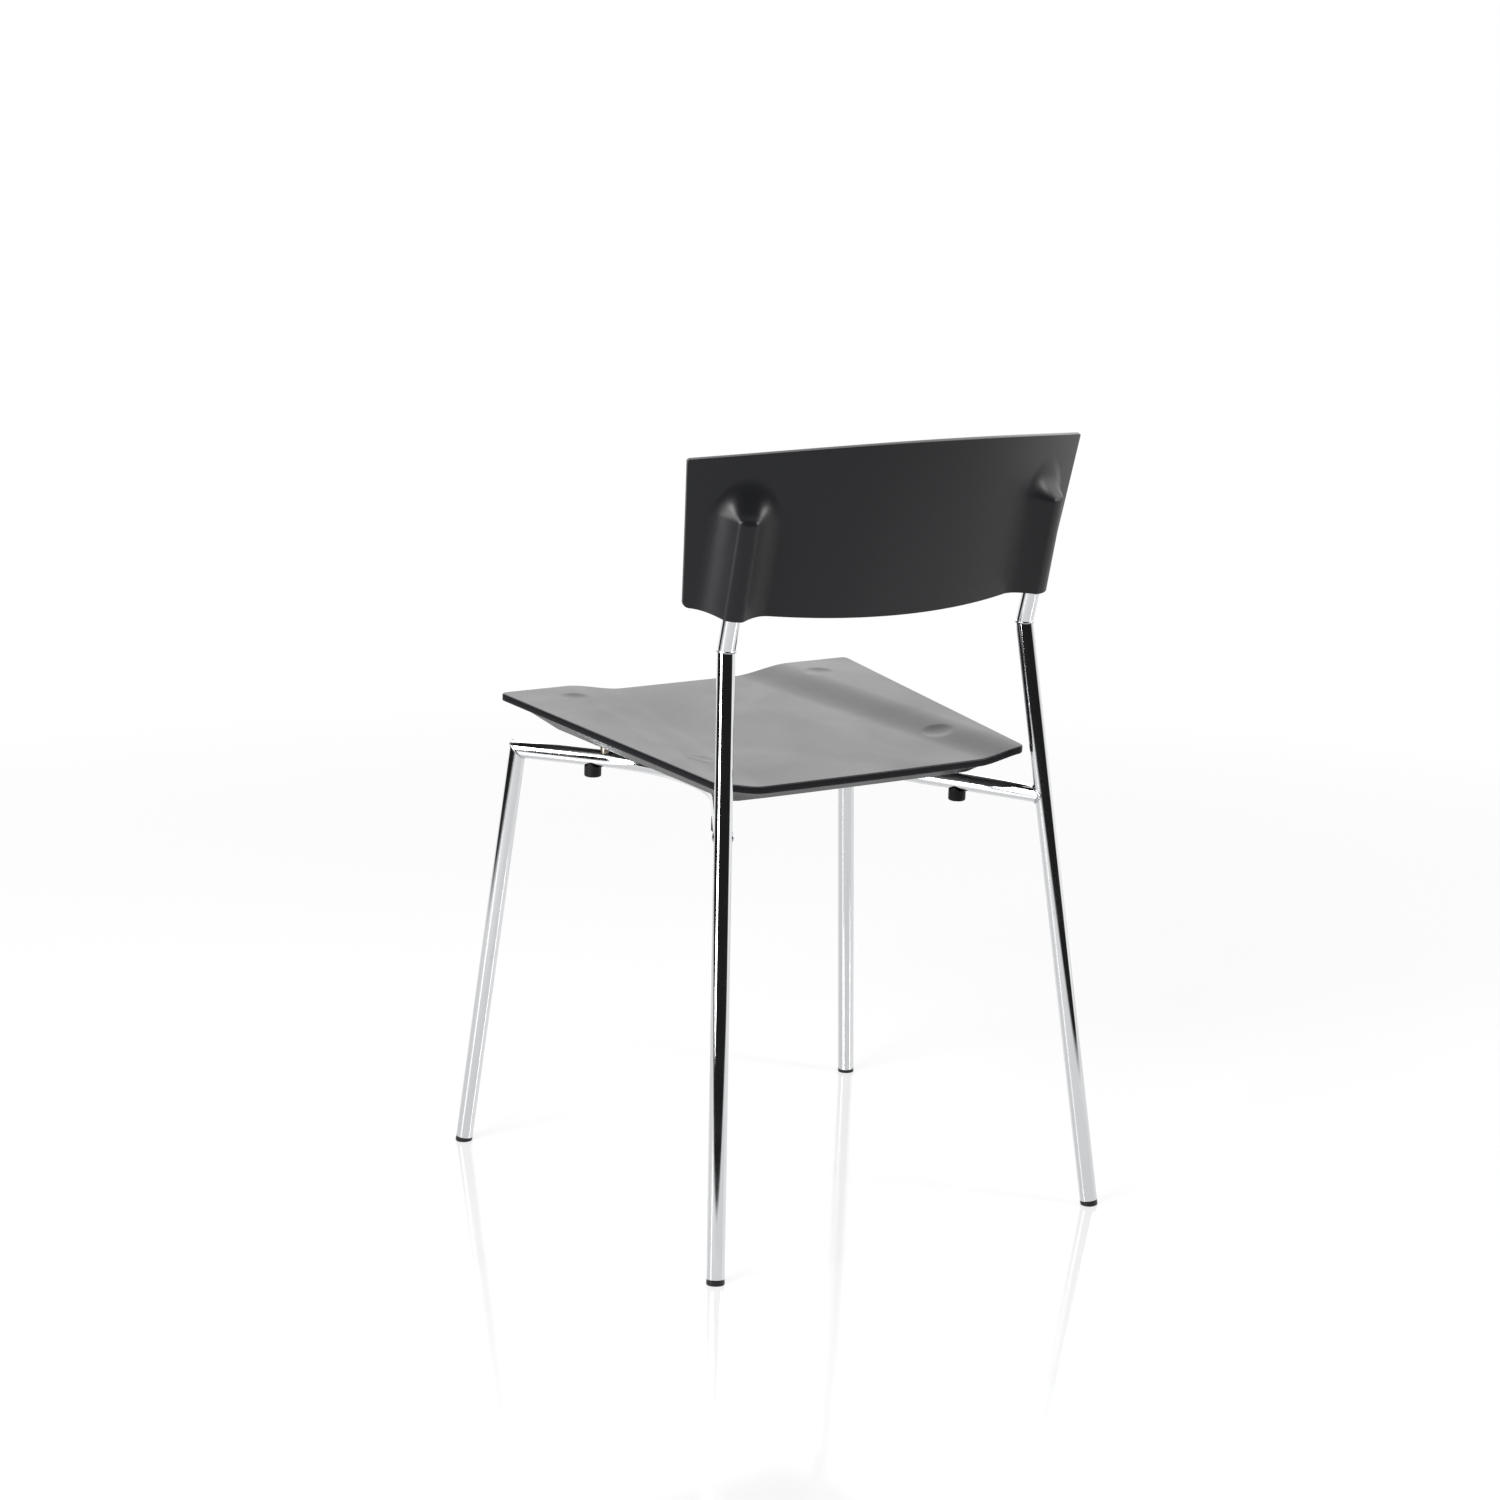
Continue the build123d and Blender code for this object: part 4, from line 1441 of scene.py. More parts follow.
@dataclass
class Seat:
    """The seat: a dished upper moulding with a rounded rim, closed below by a tapered pan."""

    plan: FramePlan
    fittings: RailFittings
    finishes: Finishes
    front_overhang: float = 0.0198
    side_overhang: float = 0.0106
    rear_gap: float = 0.013
    rear_inset: float = 0.0013
    rear_bow: float = 0.002
    slope: float = 3.2
    front_corner_radius: float = 0.006
    rear_corner_radius: float = 0.008
    rim_height: float = 0.008
    rim_width: float = 0.008
    rim_round: float = 0.0016
    skin: float = 0.005
    front_dish: Triple = (0.009, 0.070, 0.070)
    rear_dish: Triple = (0.0085, 0.128, 0.060)
    pan_depth: float = 0.036
    pan_wall: float = 0.003
    pan_front_overhang: float = 0.011
    pan_rear_setback: float = 0.062
    pan_fixing_margin: float = 0.004
    pan_corner_radius: float = 0.012
    pan_edge_reach: float = 0.0064
    dimple_radius: float = 0.01625
    dimple_depth: float = 0.0016
    dimple_edge: float = 0.00022
    stack_setback: float = 0.041
    boss_radius: float = 0.006
    boss_pin: float = 0.001
    boss_around: int = 40
    arris: float = 0.0004
    lip_overlap: float = 0.0005
    top_marks: Bumps = ((0.78, 0.1, 1.6), (1.0, 0.03, 1.5))
    top_steps: int = 96
    inner_steps: int = 26
    rim_steps: int = 8
    floor_steps: int = 16
    wall_steps: int = 8
    length: float = field(init=False)
    front_half: float = field(init=False)
    rear_half: float = field(init=False)
    origin: Array = field(init=False)

    def __post_init__(self) -> None:
        """Works out the seat's plane and its overall widths and length from the frame."""
        plan = self.plan
        height = plan.corner_height + plan.tube_radius + self.fittings.spacer_height
        height += self.pan_depth + self.rim_height
        foot = plan.rear_foot(Side.LEFT)
        leg = foot + (plan.bend(Side.LEFT) - foot) * height / plan.bend_height
        self.origin = np.array([0, -plan.corner_reach - self.front_overhang, height])
        self.length = leg[1] - self.rear_gap - self.origin[1]
        self.front_half = plan.corner_spread + self.side_overhang
        self.rear_half = leg[0] - self.rear_inset

    def place(self, flat: Array, height: Array) -> Array:
        """Puts points on or off the seat's plane.

        Args:
            flat: rows of x and the run from the front.
            height: the height of each above the plane.

        Returns:
            The points.
        """
        back, up = tilted(self.slope)
        in_plane = self.origin + flat[..., :1] * ACROSS + flat[..., 1:] * back
        return in_plane + height[..., None] * up

    def flat_of(self, point: Array) -> Array:
        """A point's (x, run from the front) in the seat's plane."""
        return np.array([point[0], (point - self.origin) @ tilted(self.slope)[0]])

    def outline(self, inset: float) -> TaperedOutline:
        """The seat's outline.

        Args:
            inset: how far it is drawn in from the seat's edges.

        Returns:
            The outline in the seat's plane.
        """
        taper = (self.front_half - self.rear_half) / self.length
        rear_y = self.length - inset
        return TaperedOutline(
            self.front_half - inset - taper * inset,
            inset,
            self.front_half - inset - taper * rear_y,
            rear_y,
            self.rear_bow,
            self.front_corner_radius,
            self.rear_corner_radius,
        )

    def dish(self, flat: Array) -> Array:
        """How far the top lies below the seat's plane.

        Level across the middle, then a smooth rise to each side; depth, level width and rise
        change evenly from the front to the rear.

        Args:
            flat: rows of x and the run from the front.

        Returns:
            The depth at each.
        """
        share = np.clip(flat[..., 1] / self.length, 0, 1)
        depth, level, rise = (mix(a, b, share) for a, b in zip(self.front_dish, self.rear_dish))
        return depth * (1 - smooth_step((np.abs(flat[..., 0]) - level) / rise))

    def dimples(self, flat: Array) -> Array:
        """How far the stacking marks sink below the dished top: spherical caps with eased rims.

        Args:
            flat: rows of x and the run from the front.

        Returns:
            The depth at each.
        """
        sphere = (self.dimple_radius**2 + self.dimple_depth**2) / (2 * self.dimple_depth)
        total = np.zeros(flat.shape[:-1])
        for centre in self.dimple_centres():
            away = np.linalg.norm(flat - centre, axis=-1)
            cap = np.sqrt(np.maximum(sphere**2 - away**2, 0)) - (sphere - self.dimple_depth)
            eased = (cap + np.sqrt(cap**2 + self.dimple_edge**2)) / 2
            total += eased * (away < 2 * self.dimple_radius)
        return total

    def dimple_centres(self) -> list[Array]:
        """Where the buffers of the chair above rest."""
        step = np.array([0, self.stack_setback, 0])
        stations = [at for side in Side for at in self.fittings.stations(side, "buffer").values()]
        return [self.flat_of(station - step) for station, _ in stations]

    def shell_rings(self) -> Array:
        """The upper moulding, ring by ring: top, rim, underside of the rim, inner skin.

        The rim is rounded by a quarter circle above and another below, both carried round
        the outline and lowered by the dish.

        Returns:
            The rings, shaped (rings, points in a ring, 3).
        """
        rounding = self.rim_round
        edge, out = self.outline(0).points(fine=True)
        inner = edge - rounding * out
        middle = np.array([0.0, self.length / 2])
        rings = []
        for share in spaced(self.top_steps, self.top_marks)[1:]:
            flat = mix(middle, inner, share)
            rings.append(self.place(flat, -self.dish(flat) - self.dimples(flat)))
        for sweep in quarter(self.rim_steps)[1:]:
            flat = inner + rounding * np.sin(sweep) * out
            rings.append(self.place(flat, -self.dish(flat) - rounding * (1 - np.cos(sweep))))
        base = -self.dish(edge) - self.rim_height
        for sweep in quarter(self.rim_steps):
            flat = inner + rounding * np.cos(sweep) * out
            rings.append(self.place(flat, base + rounding * (1 - np.sin(sweep))))
        wall = edge - self.rim_width * out
        wall_base = -self.dish(wall) - self.rim_height
        rings.append(self.place(wall + self.arris * out, wall_base))
        rings.append(self.place(wall, wall_base + self.arris))
        for share in 1 - spaced(self.inner_steps)[:-1]:
            flat = mix(middle, wall, share)
            rings.append(self.place(flat, -self.dish(flat) - self.skin))
        return np.stack(rings)

    def boss_rings(self, station: Array) -> Array:
        """A hollow boss from the foot of an insert up into the shell's skin.

        Args:
            station: the point of the rail below it.

        Returns:
            The rings of its outside and of its blind hole.
        """
        fit = self.fittings
        base = self.plan.tube_radius + fit.spacer_height + self.pan_wall
        flat = self.flat_of(station)
        under_skin = self.place(flat, -self.dish(flat) - self.skin / 2)
        reach = (under_skin - station) @ self.plan.rail_up
        insert_top = base + fit.insert_length
        profile = [
            (fit.insert_radius, base),
            (self.boss_radius - self.arris, base),
            (self.boss_radius, base + self.arris),
            (self.boss_radius, reach),
            (self.boss_pin, reach),
            (self.boss_pin, insert_top),
            (fit.insert_radius, insert_top),
        ]
        return turned_rings(station, self.plan.rail_up, profile, self.boss_around)

    def build_shell(self) -> None:
        """Builds the upper moulding with its bosses."""
        stations = [at for side in Side for at in self.fittings.stations(side, "spacer").values()]
        bosses = [ring_loop(self.boss_rings(station)) for station, _ in stations]
        shells = joined([closed_loft(self.shell_rings()), *bosses])
        build_piece("seat_shell", shells, self.finishes.seat)

    def floor_outline(self, wall: float) -> TaperedOutline:
        """The outline of the pan's floor in the plane of the rails.

        Args:
            wall: how far it is drawn in.

        Returns:
            The outline, which clears the spacers by the margin at its sides.
        """
        stations = self.fittings.stations(Side.LEFT)
        corner = self.plan.front_corner(Side.LEFT)
        front_at, rear_at = (stations[name][0] for name in ("front_spacer", "rear_spacer"))
        front_run, rear_run = ((at - corner) @ self.plan.rail_back for at in (front_at, rear_at))
        margin = self.fittings.spacer_radius + self.pan_fixing_margin - wall
        taper = (front_at[0] - rear_at[0]) / (rear_run - front_run)
        front_y = wall - self.pan_front_overhang
        end_run = (self.plan.rail_end(Side.LEFT) - corner) @ self.plan.rail_back
        rear_y = end_run - self.pan_rear_setback - wall
        return TaperedOutline(
            front_at[0] + margin + taper * (front_run - front_y),
            front_y,
            front_at[0] + margin + taper * (front_run - rear_y),
            rear_y,
            self.rear_bow,
            self.pan_corner_radius,
            self.pan_corner_radius,
        )

    def pan_wall_rings(self, wall: float) -> list[Array]:
        """One face of the pan from the middle of its floor up to its lip.

        Args:
            wall: how far inside the outer face it lies.

        Returns:
            The rings, from the middle outwards and then up.
        """
        plan = self.plan
        inset = self.rim_width + FIT_GAP + wall
        edge, _ = self.outline(inset).points(fine=False)
        lip = self.place(edge, -self.dish(edge) - self.skin - FIT_GAP)
        top = self.place(edge, -self.dish(edge) - self.rim_height + self.lip_overlap)
        floor, _ = self.floor_outline(wall).points(fine=False)
        corner = plan.front_corner(Side.LEFT) * np.array([0, 1, 1])
        level = plan.tube_radius + self.fittings.spacer_height + wall
        base = corner + level * plan.rail_up + floor[:, :1] * ACROSS
        base = base + floor[:, 1:] * plan.rail_back
        middle = base.mean(0)
        inward = unit(middle - base)
        rise = np.linalg.norm(top - base, axis=1, keepdims=True)
        # The edge is a curve of two weights between a point on the floor and one on the wall.
        on_floor = base + inward * self.pan_edge_reach
        on_wall = mix(base, top, self.pan_edge_reach / rise)
        rings = [mix(middle, on_floor, share) for share in spaced(self.floor_steps)[1:]]
        for share in np.linspace(0, 1, self.rim_steps + 1)[1:]:
            first, second = mix(on_floor, base, share), mix(base, on_wall, share)
            rings.append(mix(first, second, share))
        rings += [mix(on_wall, top, share) for share in np.linspace(0, 1, self.wall_steps)[1:]]
        rings.append(lip)
        return rings

    def build_pan(self) -> None:
        """Builds the underpan."""
        rings = self.pan_wall_rings(0.0) + self.pan_wall_rings(self.pan_wall)[::-1]
        shell = closed_loft(np.stack(rings))
        build_piece("seat_underpan", shell, self.finishes.pan)

    def build(self) -> None:
        """Builds the shell and the pan."""
        self.build_shell()
        self.build_pan()


# ---- Backrest ----


@dataclass
class Backrest:
    """A curved panel with two sleeves drawn out of its rear face over the uprights."""

    plan: FramePlan
    finishes: Finishes
    lean: float = 14.0
    thickness: float = 0.004
    radius: float = 0.462
    tube_offset: float = 0.010
    top_half_width: float = 0.231
    bottom_half_width: float = 0.217
    bottom_run: float = 0.037
    side_length: float = 0.1491
    top_crown: float = 0.0288
    bottom_crown: float = 0.0035
    top_corner_radius: float = 0.0025
    bottom_corner_radius: float = 0.006
    edge_round: float = 0.0005
    edge_draft: float = 0.0008
    sleeve_wall: float = 0.003
    sleeve_start: float = 0.035
    crest_half_width: float = 0.0088
    crest_radius: float = 0.020
    ridge_round: float = 0.0009
    flank_reach: float = 0.038
    flank_power: float = 2.0
    shoulder_reach: float = 0.042
    shoulder_power: float = 0.65
    screw_radius: float = 0.002
    screw_head_radius: float = 0.0035
    screw_head_height: float = 0.0014
    screw_reach: float = 0.003
    screw_tip: Rows = ((0.0014, 0.0), (0.0002, 0.0012), (0.0, 0.0016))
    screw_crown: Rows = ((0.0, 0.0005), (0.0003, 0.0002), (0.0012, 0.0))
    socket_radius: float = 0.0013
    socket_depth: float = 0.001
    socket_taper: float = 0.9
    hole_start: float = 0.004
    hole_overlap: float = 0.0005
    head_clearance: float = 0.004
    bottom_widening: float = 1.07
    sleeve_crowding: tuple[float, float] = (0.05, 1.6)
    end_crowding: Bumps = ((0.0, 0.006, 3.0), (1.0, 0.006, 3.0))
    row_crowding: Bumps = ((0.6, 0.22, 1.2), (0.0, 0.012, 3.0), (1.0, 0.012, 3.0))
    columns: int = 290
    rows: int = 124
    edge_steps: int = 5
    bore_around: int = 96
    hole_around: int = 40
    head_around: int = 48
    screw_around: int = 36
    lean_up: Array = field(init=False)
    rearward: Array = field(init=False)
    foot: Array = field(init=False)
    arc_centre: float = field(init=False)

    def __post_init__(self) -> None:
        """Works out the panel's directions and the centre of its curve from the uprights."""
        self.rearward, self.lean_up = tilted(self.lean)
        self.foot = self.plan.bend(Side.LEFT) * np.array([0, 1, 1])
        middle = self.sleeve_middle(Side.LEFT)
        depth = (middle - self.foot) @ self.rearward
        self.arc_centre = depth - np.sqrt((self.radius + self.tube_offset) ** 2 - middle[0] ** 2)

    def sleeve_middle(self, side: Side) -> Array:
        """The point of an upright's axis halfway up its sleeve."""
        run = (self.sleeve_start + self.plan.sleeve_end) / 2
        return self.plan.bend(side) + self.plan.upright_way(side) * run

    def normal_at(self, side: Side) -> Array:
        """The way the rear face looks where an upright stands."""
        share = self.sleeve_middle(side)[0] / (self.radius + self.tube_offset)
        return np.array([share, 0, 0]) + np.sqrt(1 - share**2) * self.rearward

    def place(self, x: Array, run: Array, depth: Array) -> Array:
        """Puts points on the panel.

        Args:
            x: across the rear face.
            run: up the lean, from the bend of the uprights.
            depth: from the rear face towards the sitter, square to the face.

        Returns:
            Points, on a cylinder about an axis that leans with the panel.
        """
        angle = np.arcsin(x / self.radius)
        reach = self.radius - depth
        across_x = (reach * np.sin(angle))[..., None] * ACROSS
        back = (self.arc_centre + reach * np.cos(angle))[..., None] * self.rearward
        return self.foot + across_x + back + run[..., None] * self.lean_up

    def crown(self, x: Array, half_width: float, crown: float) -> Array:
        """How far a crowned edge stands beyond its corners, as an arc of a circle."""
        radius = (half_width**2 + crown**2) / (2 * crown)
        return crown - radius + np.sqrt(radius**2 - x**2)

    def to_panel(self, u: Array, v: Array) -> tuple[Array, Array]:
        """Maps the unit square to the panel's outline, with its corners still sharp.

        Args:
            u: across the panel, from -1 to 1.
            v: up the panel, from 0 to 1.

        Returns:
            x, and the run up the lean.
        """
        half = mix(self.bottom_half_width, self.top_half_width, v)
        x = u * half
        wide = self.bottom_widening
        sag = self.crown(x, self.bottom_half_width * wide, self.bottom_crown * wide**2)
        rise = self.crown(x, self.top_half_width, self.top_crown)
        return x, mix(self.bottom_run - sag, self.bottom_run + self.side_length + rise, v)

    def rounded(self, u: Array, v: Array, inset: float) -> tuple[Array, Array]:
        """Draws the unit square in from its edges and rounds its corners.

        In each corner a square patch is squeezed into a quarter disc, which leaves the rest
        of the grid where it is.

        Args:
            u: across the panel, from -1 to 1.
            v: up the panel, from 0 to 1.
            inset: how far it is drawn in, in metres.

        Returns:
            The moved u and v.
        """
        half = mix(self.bottom_half_width, self.top_half_width, v)
        height = self.side_length + self.top_crown * (1 - u * u)
        u = u * (1 - inset / half)
        v = mix(inset / height, 1 - inset / height, v)
        from_side = (1 - np.abs(u)) * half
        for radius, from_edge, upper in (
            (self.top_corner_radius, (1 - v) * height, True),
            (self.bottom_corner_radius, v * height, False),
        ):
            size = radius - inset
            cx = np.clip(1 - (from_side - inset) / size, 0, 1)
            cy = np.clip(1 - (from_edge - inset) / size, 0, 1)
            inside = (cx > 0) & (cy > 0)
            side_gap = inset + size * (1 - cx * np.sqrt(1 - cy**2 / 2))
            edge_gap = inset + size * (1 - cy * np.sqrt(1 - cx**2 / 2))
            share = edge_gap / height
            u = np.where(inside, np.sign(u) * (1 - side_gap / half), u)
            v = np.where(inside, 1 - share if upper else share, v)
        return u, v

    def sleeve_height(self, x: Array, run: Array) -> Array:
        """How far the sleeves stand out of the rear face.

        Each sleeve has a slightly crowned crest, an eased ridge on each side of it, and flanks
        that run out on the panel in a hollow curve. Above the end of the tube the same section
        is carried on with a reach that grows by a power of the distance: square at the crest's
        corners and round where it meets the panel.

        Args:
            x: across the rear face.
            run: up the lean.

        Returns:
            The height at each point.
        """
        face = self.place(x, run, np.zeros_like(x))
        crest = self.plan.tube_radius + FIT_GAP + self.sleeve_wall
        edge, limit = self.crest_half_width, self.flank_reach
        total = np.zeros_like(x)
        for side in Side:
            way, normal = self.plan.upright_way(side), self.normal_at(side)
            offset = face - self.sleeve_middle(side)
            along = offset @ way - (self.plan.sleeve_end - self.sleeve_start) / 2
            sideways = np.abs(offset @ unit(np.cross(way, normal)))
            upward = limit * (np.maximum(along, 0) / self.shoulder_reach) ** self.shoulder_power
            power = 2 + 2 * np.clip(1 - np.hypot(sideways, upward) / limit, 0, 1)
            reach = (sideways**power + upward**power) ** (1 / power)
            start = crest - offset @ normal - edge**2 / (2 * self.crest_radius)
            top = start + (edge**2 - np.minimum(reach, 2 * edge) ** 2) / (2 * self.crest_radius)
            share = np.minimum((reach - edge) / (limit - edge), 1)
            flank = start * (1 - share) ** self.flank_power
            eased = (top + flank - np.hypot(top - flank, self.ridge_round)) / 2
            total += np.maximum(eased, 0)
        return total

    def panel_shell(self) -> Shell:
        """The closed panel: rear grid, rounded edge all round, front grid.

        Returns:
            Its points and quads; it has no triangles.
        """
        mean_half = (self.bottom_half_width + self.top_half_width) / 2
        sleeve = self.sleeve_middle(Side.LEFT)[0] / mean_half
        bumps = tuple(((1 + side.value * sleeve) / 2, *self.sleeve_crowding) for side in Side)
        u = spaced(self.columns, bumps + self.end_crowding) * 2 - 1
        grid_u, grid_v = np.meshgrid(u, spaced(self.rows, self.row_crowding))
        inset = self.edge_round + self.edge_draft
        x, run = self.to_panel(*self.rounded(grid_u, grid_v, inset))
        height = self.sleeve_height(x, run)
        front_x, front_run = self.to_panel(*self.rounded(grid_u, grid_v, self.edge_round))
        front = self.place(front_x, front_run, np.full_like(x, self.thickness))
        numbers = np.arange(x.size).reshape(x.shape)
        loop = np.concatenate(
            [numbers[0, :-1], numbers[:-1, -1], numbers[-1, :0:-1], numbers[:0:-1, 0]]
        )
        rings = self.edge_rings(*(values.ravel()[loop] for values in (x, run, height)))
        rear = self.place(x, run, -height)
        points = np.concatenate([rear.reshape(-1, 3), front.reshape(-1, 3), *rings])
        face = grid_faces(self.rows, self.columns, wrap_columns=False)
        count, total = len(loop), x.size
        between = [2 * total + count * ring + np.arange(count) for ring in range(len(rings))]
        chain = [loop, *between, loop + total]
        quads = [face, face[:, ::-1] + total]
        for first, second in zip(chain, chain[1:]):
            sides = [first, second, np.roll(second, -1), np.roll(first, -1)]
            quads.append(np.stack(sides, axis=1))
        return points, np.concatenate(quads), None

    def edge_rings(self, x: Array, run: Array, height: Array) -> list[Array]:
        """The rounded edge: a quarter circle off the rear face, a draft, another to the front.

        Args:
            x: across the rear face, at each point of its border.
            run: up the lean.
            height: how far the border stands out of the face.

        Returns:
            The rings between the borders of both faces.
        """
        step_x = np.roll(x, -1) - np.roll(x, 1)
        step_run = np.roll(run, -1) - np.roll(run, 1)
        size = np.hypot(step_x, step_run)
        out_x, out_run = step_run / size, -step_x / size
        edge, sweep = self.edge_round, quarter(self.edge_steps)
        strip = [(np.sin(a) * edge, (1 - np.cos(a)) * edge - height) for a in sweep[1:]]
        for a in sweep[:-1]:
            depth = self.thickness - (1 - np.sin(a)) * edge
            strip.append((self.edge_draft + np.cos(a) * edge, np.full_like(x, depth)))
        return [self.place(x + push * out_x, run + push * out_run, depth) for push, depth in strip]

    def screw_frame(self, side: Side) -> tuple[Array, Array]:
        """The point on an upright's axis and the direction that a back screw follows."""
        return self.sleeve_middle(side), -self.normal_at(side)

    def cutters(self) -> list[Array]:
        """Turned shapes that bore the panel: tube bores, screw holes and their counterbores.

        Returns:
            The rings of each shape.
        """
        shapes = []
        face_run = self.tube_offset + self.thickness
        seat = face_run - self.screw_head_height
        bore_size = self.plan.tube_radius + FIT_GAP
        hole, head = self.screw_radius + FIT_GAP, self.screw_head_radius + FIT_GAP
        top = self.plan.sleeve_end + FIT_GAP
        for side in Side:
            bend, way = self.plan.bend(side), self.plan.upright_way(side)
            middle, out = self.screw_frame(side)
            hole_end = face_run - self.hole_overlap
            for origin, axis, radius, start, end, around in (
                (bend, way, bore_size, 0.0, top, self.bore_around),
                (middle, out, hole, self.hole_start, hole_end, self.hole_around),
                (middle, out, head, seat, face_run + self.head_clearance, self.head_around),
            ):
                profile = [(radius, start), (radius, end)]
                shapes.append(turned_rings(origin, axis, profile, around))
        return shapes

    def build_panel(self) -> None:
        """Builds the panel and bores it."""
        piece = build_piece("backrest", self.panel_shell(), self.finishes.back)
        for number, rings in enumerate(self.cutters()):
            bore(piece, rings, f"cutter_{number}")

    def build_screws(self) -> None:
        """Builds the two screws that hold the panel to the uprights."""
        face_run = self.tube_offset + self.thickness
        start = self.plan.bore_radius - self.screw_reach
        seat = face_run - self.screw_head_height
        head, shank, socket = self.screw_head_radius, self.screw_radius, self.socket_radius
        profile = [
            *((shank - inset, start + rise) for inset, rise in self.screw_tip),
            (shank, seat),
            (head, seat),
            *((head - inset, face_run - drop) for inset, drop in self.screw_crown),
            (socket, face_run),
            (socket * self.socket_taper, face_run - self.socket_depth),
        ]
        frames = [self.screw_frame(side) for side in Side]
        shells = joined(
            [closed_loft(turned_rings(*at, profile, self.screw_around)) for at in frames]
        )
        build_piece("back_screws", shells, self.finishes.screw)

    def build(self) -> None:
        """Builds the panel and its screws."""
        self.build_panel()
        self.build_screws()


def bore(piece: bpy.types.Object, rings: Array, name: str) -> None:
    """Cuts a turned shape out of a piece and puts the result in the piece's mesh.

    Args:
        piece: the piece.
        rings: the rings of the shape.
        name: what the shape is called while it cuts.
    """
    cutter = put_in_scene(name, shell_mesh(name, closed_loft(rings)))
    cut = piece.modifiers.new(name, "BOOLEAN")
    cut.operation, cut.object, cut.solver = "DIFFERENCE", cutter, "EXACT"
    graph = bpy.context.evaluated_depsgraph_get()
    result = bpy.data.meshes.new_from_object(piece.evaluated_get(graph))
    piece.modifiers.remove(cut)
    piece.data = result
    result.set_sharp_from_angle(angle=SHARP_ANGLE)
    bpy.data.objects.remove(cutter)


# ---- Studio ----


@dataclass(frozen=True)
class Lamp:
    """A rectangular soft box; its level is the brightness of its face, where 1 is white."""

    name: str
    place: Triple
    target: Triple
    width: float
    depth: float
    level: float

    def build(self) -> None:
        """Makes the lamp, with its face turned to its target and hidden from the camera."""
        light = bpy.data.lights.new(self.name, "AREA")
        light.shape, light.size, light.size_y = "RECTANGLE", self.width, self.depth
        light.energy = np.pi * self.width * self.depth * self.level
        thing = put_in_scene(self.name, light)
        thing.visible_camera = False
        place = Vector(self.place)
        turn = (Vector(self.target) - place).to_track_quat("-Z", "Y")
        thing.matrix_world = Matrix.Translation(place) @ turn.to_matrix().to_4x4()


LAMPS = (
    Lamp("left_box", (2.15, 0.2, 1.3), (0, 0.2, 1.0), 0.65, 2.4, 9.0),
    Lamp("right_box", (-1.65, 1.85, 1.45), (0, 0.1, 0.9), 0.5, 0.9, 22.0),
    Lamp("left_high_box", (1.9, 0.85, 1.55), (0.1, 0.2, 0.75), 0.5, 0.5, 30.0),
    Lamp("ceiling_box", (0.0, 0.2, 3.0), (0, 0.2, 0.5), 1.6, 1.6, 0.8),
    Lamp("front_box", (0.3, -2.4, 1.5), (0, 0, 0.6), 1.6, 1.2, 0.9),
)


